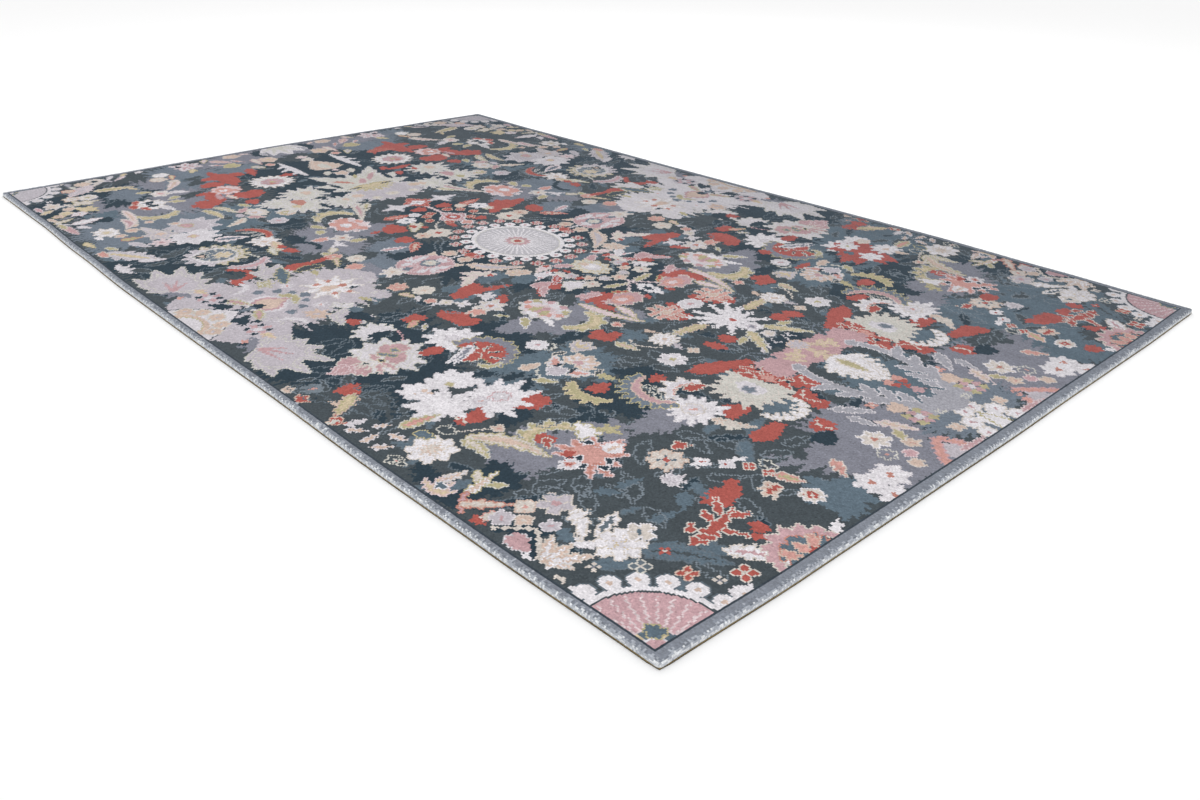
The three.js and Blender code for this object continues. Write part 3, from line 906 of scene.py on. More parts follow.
def frontField():
    # Cream and pink palmette with its tip towards the edge
    spray(38.6, -66, [(92, 9.4, 5), (118, 9.2, 5.4), (150, 9.8, 5), (178, 9, 5), (208, 9, 5),
            (62, 8.4, 5), (30, 9.4, 4.6), (6, 9.6, 4.4), (-22, 9, 4.6), (-50, 8, 5), (235, 8, 5)],
            "mist", "bone")
    scatter(patch, (
        (36.6, -63.2, 2.8, 3.4, 0), (40.6, -64.8, 2.6, 2.2, -40), (36.2, -73.2, 2.4, 2.4, 0),
    ), yarn="rose", rim="bone")
    scatter(patch, (
        (37.2, -63), (39.2, -64.8), (37.4, -66),
    ), halfLong=0.9, halfWide=0.7, turn=0, yarn="faint", rim="olive")
    scatter(leaf, (
        (43, -68, 5.6, 1.7, 4), (43, -70.2, 5.6, 1.7, -24), (37, -68, 3.4, 1.6, 170),
    ), yarn="rose", rim="cream")
    patch(39.7, -67.8, 0.6, 0.6, 0, "navy", "gold")
    patch(41, -73.2, 2.2, 2.2, 0, "rose", "bone")
    patch(38.6, -74.6, 2.6, 1.9, 0, "rose")
    leaf(38, -71.4, 5, 0.8, 78, "cream")
    leaf(39.6, -71.4, 5, 0.8, 95, "cream")
    leaf(41, -71.4, 5, 0.8, 110, "cream")
    leaf(38.5, -76.4, 5.6, 5.4, -90, "rose", "petal", teeth=3, depth=0.3)
    stem([(28.6, -57), (31.5, -57.6), (34.4, -59)], "blush")
    spray(26.6, -61, [(70, 4.6, 3), (100, 5, 3), (130, 5, 2.8), (160, 5.6, 2.8), (190, 5.2, 2.6),
            (220, 5.6, 2.8), (255, 5.4, 3), (290, 5, 3)], "mist", "bone")
    patch(28.2, -61, 1.6, 2.8, 0, "navy")
    patch(25.4, -50.8, 2.2, 2.4, 10, "red")
    leaf(28.2, -52.6, 4.8, 2, -60, "pink", "olive")
    leaf(31.4, -51.6, 4.6, 1.9, -40, "mist", core="olive")
    ghost(22.5, -53, 7, 3, 85)
    # Red patches, and the white leaves by them
    patch(42.8, -56.9, 2, 2.1, 0, "red", uneven=0.06)
    patch(42.6, -59.2, 1.4, 1.1, 0, "red")
    patch(46.9, -79.6, 2.5, 2.5, -30, "red")
    leaf(47.6, -54, 9.6, 3.2, -68, "mist", "white", "mauve", bend=0.8, teeth=3)
    leaf(50, -55.6, 6.6, 2, -64, "white", core="mauve")
    leaf(52, -83.6, 9.4, 3.8, -52, "olive", "peach", "gold", teeth=4)
    leaf(50, -84.6, 3, 1.4, 190, "peach")
    tulip(44.4, -88.2, 5.4, 2.6, 0, "red", "peach")
    tulip(56.4, -88, 4.6, 3, 0, "red", "peach", heart="bone")
    flower(39, -88.4, 1.2, 5, "peach", "cream")
    star(42, -84.6, 2.2, 7, None, "faint")
    patch(42, -84.6, 0.6, 0.5, 0, "pink")
    leaf(59.4, -85.2, 5, 2.8, 80, "mist", teeth=3)
    scatter(ghost, (
        (46, -86, 7, 3, 20), (51.6, -77, 5, 2.6, 75), (55.6, -77, 6, 3.4, 0), (42.6, -79.4, 5, 2.6, 20),
        (54, -79, 7, 3, 20), (56, -82, 6, 3, 0), (48.6, -76.4, 5, 2.4, 60), (40, -86.2, 5, 2.6, 60),
    ), yarn="dim")
    spray(57.6, -63.6, [(100, 6.6, 4.4), (140, 6.6, 4), (175, 5.6, 3.8), (210, 5.6, 3.8), (60, 7, 4.4),
            (240, 5, 4)], "white", "mist")
    spray(58, -69.6, [(190, 6, 3.6), (220, 5.6, 3.4), (255, 4.4, 3.6), (160, 5, 3)], "white",
            "mist")
    patch(57.9, -63.8, 0.8, 0.8, 0, "olive", "cream")
    cross(57.8, -69.8, 1.8, "peach", turn=45)


# Below the middle, between the medallion and the cloud palmette
def innerField():
    scatter(patch, (
        (-1, -22, 16, 14, 0, "navy"), (26, -17, 3, 6, 10, "navy"), (36, -11.5, 3, 4, 0, "navy"),
        (46, -41, 10.5, 4.4, 0, "navy"), (56.4, -31, 2, 5, 0, "navy"),
        (22.4, -15.6, 3.4, 4, 0, "steel"), (59.6, -47, 3, 8, 0, "steel"),
        (49, -20, 6.4, 5, 0, "mauve"), (49.4, -28, 5, 6, 0, "mauve"),
        (43.6, -35.6, 2.8, 6, 15, "mauve"), (47, -34, 4, 3.4, 0, "mauve"),
        (44, -14.8, 3.4, 1.7, 0, "flint"), (-20, -27, 6, 6, 0, "flint"),
        (-12, -37, 8, 5, -20, "flint"), (-8, -41.4, 6, 3.4, -10, "mauve"),
        (-18, -36, 3, 3, 0, "slate"), (8, -37, 8, 6, -20, "slate"), (16.4, -21, 3, 5, 0, "steel"),
        (17, -33, 3, 3, 0, "steel"), (56, -12, 5, 3, -10, "mauve"),
    ), uneven=0.2)
    # Big reds
    scatter(patch, (
        (22.6, -25, 1.2, 3.8, -12), (20.4, -31.6, 2.9, 5, 8), (17.8, -28.6, 2, 2, 0),
        (31, -43, 5, 2.8, 6), (35.7, -42.2, 1.5, 3, 0), (43.6, -10.4, 2.1, 4.2, 5),
        (48.4, -13.4, 3.4, 1.4, 0), (59.6, -25.6, 2, 2.6, 30), (29.4, -28.4, 2.7, 1.5, -45),
        (25.6, -50, 2.1, 2.4, 0), (30.6, -13.8, 2.6, 2.3, -30),
    ), yarn="red")
    patch(46.8, -9.6, 2.6, 2.6, 0, "rose", "petal")
    patch(41.3, -11.4, 1.4, 3.4, 10, "rose")
    leaf(28.4, -10.6, 7, 2.6, -48, "red", "petal", "blush")
    patch(28.4, -15.6, 1.7, 2.4, 0, "rose", "petal")
    leaf(32, -18.6, 6.4, 3, -45, "red")
    leaf(32.2, -17.9, 6.4, 2.2, -45, "rose", "petal")
    leaf(24, -11.4, 9, 2.8, -68, "white", core="blush", teeth=3)
    spray(33, -8.6, [(-20, 4, 2.4), (-60, 5.6, 2.8), (-95, 4, 2.6), (-140, 3, 2.2), (20, 3.6, 2.4),
            (60, 3.4, 2.4)], "mist", "bone")
    # Curled leaf and its olive crescent
    leaf(52.6, -14.6, 19, 2.8, 12, "petal", "olive", bend=-1.2)
    leaf(55, -12.4, 9, 2.6, -14, "petal", "olive", bend=0.6)
    crescent(50.2, -23.6, 4.7, 3.6, -82, 118, "olive", "bone", "gold", teeth=6)
    flower(58.3, -18.6, 1.3, 5, "pink", "cream", heart="red")
    # Palmette with two white leaves under it
    palmette(40.9, -25.2, 14.4, 11, 0, "mist", "petal", "rose", "bone", teeth=12)
    scatter(patch, (
        (38.6, -21.2, 1.2, 0.9, 20, "rose"), (43, -21.1, 1.2, 0.9, -20, "rose"),
        (35.8, -23, 1.4, 0.9, 0, "olive"), (45.6, -22.8, 1.5, 0.8, -30, "olive"),
        (34.8, -25, 1, 1, 0, "pink"), (46, -25, 1, 1, 0, "pink"), (37.1, -26.8, 1.2, 0.9, -30, "pink"),
        (44, -26.8, 1.2, 0.9, 30, "pink"), (39.2, -26.4, 1, 1.8, -15, "olive"),
        (42.4, -26.4, 1, 1.8, 15, "olive"), (40.7, -28.8, 1.8, 1, 0, "white"),
        (41, -24.4, 1.2, 0.9, 0, "rose"),
    ))
    leaf(47.6, -29.2, 5.4, 2.4, -22, "white", teeth=2)
    leaf(44, -33.3, 6.4, 2.6, -38, "olive", "white")
    leaf(37.4, -34.6, 4.4, 2, 35, "bone", core="olive", teeth=2)
    # Flower branch
    spray(25.2, -30.4, [(60, 3.6, 1.6), (110, 3.6, 1.6), (20, 3.2, 1.6), (200, 3, 1.5), (-30, 3.4, 1.8)],
            "mist")
    star(31, -33, 4, 6, "cream", "mist", ring="mist", heart="rust", uneven=0.1)
    spray(31.2, -36.2, [(-60, 4.4, 2), (-95, 4, 1.8), (-20, 3, 1.6)], "pink", "cream")
    spray(26.2, -37.2, [(60, 3, 1.5), (130, 3, 1.5), (200, 3.4, 1.4), (-60, 2.4, 1.4)], "mist")
    flower(22.4, -39.4, 1.6, 4, "cream", "mist", heart="olive")
    flower(19.3, -41.6, 1.4, 5, "pink", "cream")
    leaf(21.6, -42.2, 2.8, 1.2, -80, "mist")
    stem([(22.4, -40.6), (24, -38.4), (26, -37)], "cream", width=0.22)
    ghost(28, -41.6, 4, 2, 20)
    # White chrysanthemum and the red dome beside it
    star(40.2, -50.4, 6.6, 10, "white", "mist", depth=0.34, uneven=0.1)
    flower(40.2, -50.4, 1.6, 6, "mist", "lilac")
    area, u, v = near(50, -51.4, 9)
    above = v > -0.4
    angle = np.degrees(np.arctan2(v, u))
    tie(area, above & (np.hypot(u, v * 0.9) < 7.4 + 1.2 * zigzag(angle / 18)), "mauve", rim="olive")
    tie(area, above & (np.hypot(u, v * 0.95) < 6.1), "red")
    patch(50.6, -53, 1.6, 2.4, 0, "red", "bone")
    scatter(leaf, (
        (46.4, -49, 4, 0.9, 150), (49, -47.6, 4, 0.9, 110), (52, -47.8, 4, 0.9, 60),
        (54.6, -49.4, 4, 0.9, 30),
    ), yarn="bone", core="navy")
    crescent(54.6, -51.6, 2.4, 1.2, -110, 40, "olive", "bone")
    flower(54.9, -39, 2.3, 7, "mist", "white", heart="rose", depth=0.12)
    crescent(56.6, -38, 2, 0.6, -60, 130, "bone")
    # Tulip under the medallion
    for way in (-1, 1):
        leaf(-2 + way * 5, -23.2, 5.6, 2.6, 90 - way * 38, "peach", "cream")
    flower(-2, -28.6, 7.3, 2, "rose", "petal", depth=0.06, turn=90)
    for way in (-1, 1):
        leaf(-2 + way * 3.4, -29, 11, 5, 90 - way * 14, "mist", bend=-way * 1.2, blunt=1)
        leaf(-2 + way * 4.6, -31, 4.6, 1.6, 90 + way * 40, "rose")
        leaf(-2 + way * 5.9, -27, 4, 1.2, 90 - way * 10, "blush")
        leaf(-2 + way * 1.2, -31.4, 6.4, 1.5, 90 + way * 22, "rose", "petal")
    patch(-2.2, -27, 2.7, 2.6, 0, "flint", "rose", uneven=0.06)
    flower(-2.2, -26.8, 1.9, 6, "bone", heart="peach", depth=0.2)
    leaf(-2.4, -33.4, 3.4, 2.2, 90, "flint")
    star(-3, -37.6, 3.5, 7, "cream", "mist", heart="peach", uneven=0.18)
    stem([(-1.8, -16.4), (-1.8, -18.6), (-1.8, -21)], "mist", width=0.4)
    spray(-1.8, -24.4, [(45, 3, 1.2), (135, 3, 1.2), (90, 3.4, 1.4), (20, 2.4, 1), (160, 2.4, 1)],
            "mist")
    scatter(flower, (
        (-5, -18.8, 1.9, 6, "peach", "cream", None, "pink"),
        (1.5, -18.7, 1.9, 6, "peach", "cream", None, "pink"),
        (-21, -11.2, 3.7, 8, "cream", "bone", None, "red"),
        (-21.8, -15.8, 2.3, 6, "peach", "cream", None, "rust"),
        (17.6, -15, 2.4, 6, "peach", "cream", None, "gold"),
        (6.7, -42.4, 2.3, 7, "pink", "peach", None, "peach"),
        (-12.5, -42.8, 2.2, 7, "pink", "peach", None, "pink"),
        (-17.6, -39.2, 2.4, 5, "cream", "bone", None, "peach"),
        (-22.5, -43, 2.2, 5, "pink", "peach", None, "cream"),
        (12.6, -39, 2.7, 5, "cream", "bone", None, "peach"),
    ), depth=0.25)
    leaf(-18.4, -44.4, 7.4, 2.4, -25, "olive", core="peach")
    leaf(12.6, -43.6, 4.6, 2.2, 15, "peach", "olive")
    leaf(16.2, -43, 3.6, 1.7, -30, "mist")
    leaf(10.4, -15.4, 15, 4.8, 42, "peach", "cream", "lilac", bend=-1.4)
    patch(-22, -21.6, 2.7, 2.6, 0, "red")
    leaf(-15.2, -23, 8, 3, -42, "red", "pink", "peach")
    leaf(-17.6, -27.6, 8, 3.6, 75, "mist", core="blush", teeth=5)
    patch(-22.4, -47.4, 1.1, 3.4, 10, "red")
    spray(13.6, -22, [(60, 3.6, 2), (215, 6, 2.4), (190, 4, 2), (110, 3, 1.8)], "cream", "petal")
    spray(14.4, -26.4, [(-60, 5.4, 2), (190, 3.4, 1.8), (130, 4, 2)], "cream", "petal")
    patch(14.8, -20.8, 0.8, 0.7, 0, "red")
    patch(17.8, -29, 1.2, 2.4, 0, "red")
    scatter(stem, (
        (((-18, -13), (-14, -14.4), (-11, -17.6), (-7.6, -19.4)),),
        (((-16, -14.6), (-13.4, -18), (-9, -20)),), (((-13, -13.2), (-10.4, -14.6), (-9.6, -16.4)),),
        (((8, -31), (7, -35), (9, -36.8)),), (((10, -32), (12.6, -34)),),
        (((4.6, -35.4), (3.4, -38), (5, -39.4)),), (((19, -21), (24, -23), (29, -25)),),
        (((18, -24), (22, -25.6)),), (((31, -21), (31.4, -24)),),
        (((52, -32), (54, -34.4), (55, -34.2)),), (((54.6, -27), (56.6, -29.4)),),
    ), yarn="faint", width=0.18)


# Right of the middle, above the crescent and the white maple leaves
def middleRight():
    scatter(patch, (
        (67, -39, 8, 10, 0, "steel"), (80, -33, 5, 5, 0, "navy"), (84, -44.4, 8.6, 5, 0, "navy"),
        (65.4, -19.6, 4, 1.6, 0, "steel"), (96, -41, 5, 9, 0, "mauve"),
        (107.6, -23, 3.6, 4.2, 0, "steel"), (127, -22, 15, 15, 0, "mauve"),
        (133, -40, 6, 6, 0, "steel"), (117, -33, 4, 6, 0, "slate"), (77, -20, 8, 9, 0, "slate"),
    ), uneven=0.2)
    scatter(ghost, (
        (76, -16, 6, 3, 30), (82, -20, 7, 3, 70), (76, -24, 6, 3, -20), (81, -27, 6, 3, 20),
        (117.4, -31, 6, 2.6, 80), (118, -37, 6, 3, 60), (110, -41, 6, 3, 0), (104, -43.4, 6, 3, 20),
        (107, -45, 6, 2.6, -20), (74, -29, 6, 3, 40),
    ))
    # Reds
    scatter(patch, (
        (79.9, -11, 2.2, 1.5, 0), (61.9, -24.4, 2, 3, 0), (88, -18, 2.4, 7.6, -22),
        (83.2, -31.4, 1.6, 2, 0), (78.6, -43, 2, 2.6, 0), (103.7, -10.7, 3, 3, 0),
        (107.6, -15.6, 3, 2.4, -40), (111.2, -16.2, 2.2, 2, 0), (116.9, -22.8, 2.5, 2.5, 0),
        (112, -32.3, 2.2, 4.6, 5), (102.6, -30.4, 2.4, 3.4, 0), (94.6, -15.6, 4, 3.2, 20),
    ), yarn="red")
    patch(95.8, -10.2, 4.6, 3, 0, "rose")
    patch(120.1, -26.3, 2.3, 2.8, 0, "navy")
    patch(122, -15.5, 1.6, 0.9, 0, "navy")
    scatter(stem, (
        (((92, -13), (95, -14.4), (98, -13.4)),), (((92, -18), (94, -15.6), (97, -17)),),
        (((101.6, -9), (104, -11), (106, -10)),), (((106, -14), (108, -16.4), (111, -15.4)),),
        (((115, -22), (117, -23.4), (119, -22.4)),),
    ), yarn="cream", width=0.22)
    # White star, leaves and four-petals at the left
    star(70.8, -16.6, 3.5, 12, "white", "cream", heart="peach", depth=0.3)
    flower(79.1, -22.6, 3, 6, "mist", "white", heart="olive", depth=0.35)
    leaf(66.1, -15.7, 3.4, 1.6, 20, "peach")
    leaf(75.4, -17, 3.4, 1.6, -20, "lilac")
    cross(78.9, -16.1, 1.4, "peach", "cream")
    leaf(70.5, -10.4, 6.2, 2.8, 90, "olive", "bone", "lilac", teeth=3)
    leaf(68.1, -25.2, 6.4, 2.6, 8, "olive", "bone", "peach")
    stem([(66, -22), (68, -23.4), (71, -22.4), (73.6, -20)], "cream")
    # Serrated palmette with its red ornament
    blades = [(angle, 8.6 + 0.8 * math.sin(math.radians(5 * angle)), 2.7)
              for angle in range(166, 432, 19)]
    spray(98.6, -20.4, blades, "bone", "cream", blunt=0.6)
    patch(98.4, -20.6, 4.6, 4, 0, "bone", uneven=0.05)
    patch(98.4, -20.9, 3.4, 2.3, 0, "mist", uneven=0.1)
    patch(98.6, -21.6, 1.4, 1, 0, "flint", "ash")
    # Its ornament: red sprigs with dark gaps
    scatter(leaf, (
        (92.6, -14.2, 5, 1.7, 200), (95.4, -12.4, 4.6, 1.7, 150), (97.8, -11.6, 4.4, 1.7, 90),
        (100.2, -12.6, 4.6, 1.7, 30), (102.2, -14.8, 4.4, 1.7, -20),
    ), yarn="red", rim="cream")
    patch(94, -13.2, 0.7, 0.5, 30, "navy")
    patch(99.4, -10.8, 0.7, 0.5, 30, "navy")
    patch(101.8, -13, 0.7, 0.5, 30, "navy")
    spray(98, -15.6, [(60, 3, 1.3), (90, 3.2, 1.3), (120, 3, 1.3), (20, 2.4, 1.2), (160, 2.4, 1.2)],
            "pink", "red")
    crescent(91.8, -30.8, 4.4, 2.6, 104, 268, "white", "cream", "mist", teeth=5, depth=1.1)
    stem([(89.6, -27.8), (88.4, -30.4), (89.4, -33.2), (91.2, -34.4)], "pink")
    leaf(90.9, -28.6, 5, 2.4, 72, "red", "cream", teeth=0)
    star(97.2, -35.8, 6.2, 13, "white", "mist", depth=0.36, uneven=0.14)
    flower(96.9, -35.8, 2.2, 7, "mist", "cream", heart="pink", depth=0.2)
    # Grey-blue and pink crescent with an olive edge
    crescent(87.4, -32.6, 7.6, 3.4, 176, 332, "flint", "olive", teeth=11, depth=0.8)
    crescent(87.4, -32.6, 6.4, 1.5, 178, 326, "rose", "peach")
    leaf(84.8, -35.2, 2.6, 1, 40, "navy", "bone")
    leaf(87, -36, 2.6, 1, 0, "navy", "bone")
    leaf(89, -37, 2.6, 1, -30, "navy", "bone")
    # Palmettes at the left
    spray(61.6, -33.8, [(90, 4.4, 3), (130, 4.2, 2.8), (50, 4.2, 2.8), (-60, 2.4, 1.6)], "lilac",
            "cream", "gold")
    for way in (-1, 1):
        leaf(67.4 + way * 3.6, -41.6, 6, 4, 90 - way * 52, "mist", "cream", "pink", teeth=2)
        leaf(67.4 + way * 6, -38, 3.4, 1, 90 + way * 20, "slate", "cream")
    spray(67.4, -39.4, [(90, 5.6, 3.4), (52, 5.4, 3), (128, 5.4, 3), (18, 4.6, 2.8), (162, 4.6, 2.8)],
            "peach", "cream", "mist", blunt=1)
    patch(67.4, -38.4, 1.2, 0.9, 0, "rose", "cream")
    patch(67.3, -44.2, 2.1, 1.9, 0, "lilac", "white")
    for way in (-1, 1):
        leaf(67.4 + way * 1.9, -42, 3, 1, 90 + way * 18, "navy")
    crescent(67.3, -45, 3.4, 0.6, 200, 340, "bone")
    leaf(76.2, -38.5, 5, 2.8, 20, "olive", teeth=3)
    crescent(78.6, -41.6, 6.4, 2.4, 210, 330, "olive", "gold", teeth=7, depth=0.9)
    leaf(62.2, -46.8, 5.4, 2.8, 80, "peach", "cream", teeth=3)
    leaf(69.4, -48.7, 5, 2.4, 30, "olive", "bone")
    # White curled leaf and the wing leaf
    crescent(106.8, -22.8, 4.8, 1.7, -96, 96, "white", "cream", teeth=7, depth=2, comb=-1)
    leaf(117.4, -13.6, 8.6, 3, 40, "ash", "mist", teeth=4, depth=0.6)
    leaf(121, -16, 6, 2.2, 10, "ash", "mist", teeth=3)
    leaf(126.4, -12.6, 8, 2.6, 24, "cream", "petal", "peach", teeth=4, depth=0.6)
    leaf(128.8, -15.4, 4.4, 1.6, -30, "olive", "cream")
    cross(118.5, -9.3, 1.4, "pink", heart="cream", turn=45)
    scatter(star, (
        (126.4, -20.1, 3.2, 7, "cream", "white", None, "rust"),
        (131.5, -16.1, 1.6, 5, "peach", "cream", None, "pink"),
        (133.3, -19.6, 1.4, 5, "blush", "petal"), (135.9, -21.7, 1.5, 5, "peach", "cream"),
        (130.8, -23, 1.8, 6, "mauve", "bone", None, "pink"),
        (135.1, -28.5, 3.7, 7, "white", "mist", None, "rust"),
        (134.3, -32.9, 3.3, 6, "white", "mist", None, "rust"),
        (139.2, -33.3, 3.2, 7, "white", "mist", None, "rust"),
        (130, -43.4, 2.2, 8, "cream", "white", "red", "cream"),
        (114.3, -46.4, 1.4, 4, "mist", "white", None, "red"),
        (110.9, -49, 1.4, 4, "white", "mist", None, "red"),
        (123.6, -46.2, 1.2, 5, "peach", "cream", None, "red"),
    ), depth=0.3)
    patch(138.4, -13, 3, 2.8, 0, "lilac")
    band([(141, -9.2), (137, -9.8), (133.8, -11.4), (136.4, -15), (139.4, -17.8)], "pink", "blush", 0.7)
    leaf(127.9, -33.1, 5.4, 2.7, -30, "pink", "cream")
    leaf(105.6, -34, 9, 2.8, 26, "peach", "cream", "cream", bend=-0.8, teeth=5, depth=0.6)
    spray(104.4, -34.2, [(-50, 3.4, 1.4), (-20, 3.6, 1.4)], "cream", "bone")
    cross(117.3, -44.1, 1.2, "red", "cream")
    cross(120.9, -43.2, 1.2, "red", "cream")
    ghost(119.2, -41.2, 4, 2, 0, yarn="bone")
    leaf(124.4, -42, 5.4, 3, 20, "pink", "cream", "olive")
    tulip(124.6, -47.4, 4.6, 4.4, 180, "peach", "cream", heart="red")
    leaf(114.7, -43.3, 3.6, 1.6, 60, "white")
    tulip(104.5, -47.6, 3.4, 3.4, 0, "red", "cream")
    leaf(138, -47.9, 4.4, 2.6, 120, "white", teeth=3)


# Left of the middle in front: star leaves, a sunflower wheel and curled leaves
def frontLeft():
    palmette(-71.5, -40, 8.6, 6.4, 0, "cream", "mist", "peach", "bone", teeth=9)
    for way in (-1, 1):
        leaf(-71.5 + way * 4.4, -42, 5.4, 3, 90 - way * 40, "rose", "cream")
    patch(-71.5, -45, 2, 1.2, 0, "lilac")
    palmette(-65.5, -33.5, 6, 5.4, 0, "peach", "olive", "cream", "bone", teeth=8)
    patch(-82, -36.2, 2.6, 1.8, 0, "red")
    flower(-60, -39, 2.7, 6, "lilac", "mist", heart="rose")
    spray(-71.5, -59.4, [(96, 8.6, 5), (136, 8, 4.6), (176, 8, 5), (216, 7.4, 5), (256, 7.6, 5),
            (300, 7.6, 5), (340, 8, 5), (18, 8, 5), (56, 8, 5)], "lilac", "mist")
    patch(-72.5, -60.4, 1.9, 1.5, 20, "rose", "olive")
    spray(-62.3, -63.2, [(90, 7.6, 4.6), (128, 7, 4.4), (220, 6.6, 4.4), (262, 7, 4.4), (306, 7, 4.6),
            (346, 7.4, 4.6), (22, 7.4, 4.6), (56, 7.6, 4.4)], "mist", "white")
    patch(-62.4, -63, 1.2, 1.1, 0, "gold", "rose")
    spray(-69.6, -69, [(0, 5, 3.4), (60, 4.2, 3), (120, 4.2, 3), (190, 9.4, 3.2), (250, 4.6, 3),
            (310, 5, 3)], "lilac", "cream")
    patch(-70, -68.8, 1.4, 1.1, 0, "peach")
    star(-62.8, -71.4, 3.4, 7, "petal", "lilac", heart="rose", uneven=0.12)
    scatter(flower, (
        (-78, -73.4, 1.8), (-82.6, -71.6, 1.6), (-75.3, -77.6, 1.4), (-76.4, -62, 1.1), (-82.4, -67, 1.1),
    ), petals=5, yarn="peach", rim="cream", heart="pink")
    star(-80.5, -79.5, 4.4, 8, "white", "cream", ring="cream", heart="gold", depth=0.3, squash=0.84)
    scatter(leaf, (
        (-80, -39.5, 4.4, 2, 20, "olive", "bone"),
        (-79.5, -46, 9.4, 2.8, 16, "olive", "bone", "cream", 0.6, 4),
        (-77.5, -50.6, 11.6, 2.8, 5, "olive", "cream", "gold", 1, 5),
        (-66.3, -48.8, 8.4, 3, -58, "cream", "bone", "peach", 0.8),
        (-71, -76.2, 5.4, 3, 80, "olive", "rust"),
        (-64.5, -76.5, 7.6, 2.6, 22, "lilac", "mist"),
        (-57, -81.6, 17.6, 7.4, 32, "lilac", "mist", "gold", 0.0, 5, 0.55, 0.8, 0.22),
        (-50.6, -78.6, 7, 3, 62, "mist", "lilac"), (-66, -83.2, 4.6, 1.8, 20, "olive", "bone"),
        (-72.6, -86.6, 6, 2, 8, "gold", "olive"), (-76.6, -82.8, 4, 1.8, 10, "white"),
    ))
    patch(-63, -86.6, 2.4, 1, 0, "pink", "cream")
    spray(-48.6, -88, [(160, 5.4, 2), (120, 4.6, 1.8), (70, 4.4, 1.8), (25, 5.4, 2)], "mist")
    # Sunflower wheel
    spray(-43.6, -65, [(angle, 8.8, 3) for angle in range(-10, 200, 24)], "cream", "olive", "peach",
            blunt=1)
    spray(-43.6, -65, [(angle, 8.6, 3) for angle in range(206, 340, 24)], "lilac", "mist",
            blunt=1)
    patch(-43.6, -65, 5.8, 5.8, 0, "mist", uneven=0.04)
    crescent(-43.6, -65, 6.4, 2, 14, 168, "olive", core="cream", teeth=8)
    flower(-43.6, -64.8, 4.8, 10, "flint", "bone", depth=0.1)
    star(-42.8, -63.6, 2.6, 6, "gold", "cream", heart="cream")
    patch(-45.2, -68.4, 1.8, 1.6, 0, "navy", "bone")
    patch(-45.2, -68.4, 0.9, 0.8, 0, "peach")
    # Red arc, the palmette by it, and curled leaves
    crescent(-52.2, -53.2, 7, 2.4, 24, 160, "flint", "faint", teeth=7)
    crescent(-52.4, -53.2, 6.6, 1.7, 40, 174, "red", "rust")
    scatter(leaf, (
        (-55, -50, 3.6, 1, 60), (-52, -49.4, 3.6, 1, 85), (-49.4, -50.2, 3.6, 1, 110),
    ), yarn="mauve", rim="bone")
    star(-45.4, -50.6, 4.8, 9, "white", "cream", heart="peach", depth=0.38, uneven=0.12, squash=0.9)
    leaf(-40, -49.8, 8.6, 3.4, -12, "peach", "cream", "gold", teeth=4)
    leaf(-36.6, -52.6, 7, 2.4, -16, "bone", "olive", teeth=4, depth=0.6)
    patch(-38.6, -49.2, 1.6, 1.1, 0, "red")
    patch(-34.4, -48.8, 2.4, 1.6, 20, "red")
    leaf(-53.8, -56, 9, 5, 70, "petal", "white", "flint", teeth=5, depth=0.55)
    crescent(-35.4, -61.6, 5.2, 3.2, -68, 78, "lilac", "petal", "blush", teeth=6)
    stem([(-39.6, -58.6), (-37.4, -58), (-35, -57.4)], "bone", width=0.3)
    stem([(-31, -67.4), (-26.6, -64.2), (-22.4, -67), (-20.6, -70.4)], "red", width=0.8)
    stem([(-23.4, -49), (-23.4, -46.6), (-22.8, -44.4)], "pink", width=0.25)
    scatter(ghost, (
        (-53, -69, 6, 3, 70), (-54, -74, 6, 3, 30), (-34, -71, 5, 2.6, 40), (-46, -57.6, 5, 2.4, 10),
        (-58, -53, 6, 3, 80), (-40, -84.4, 6, 3, -20), (-51, -62, 5, 2.6, -50),
    ), yarn="dim")


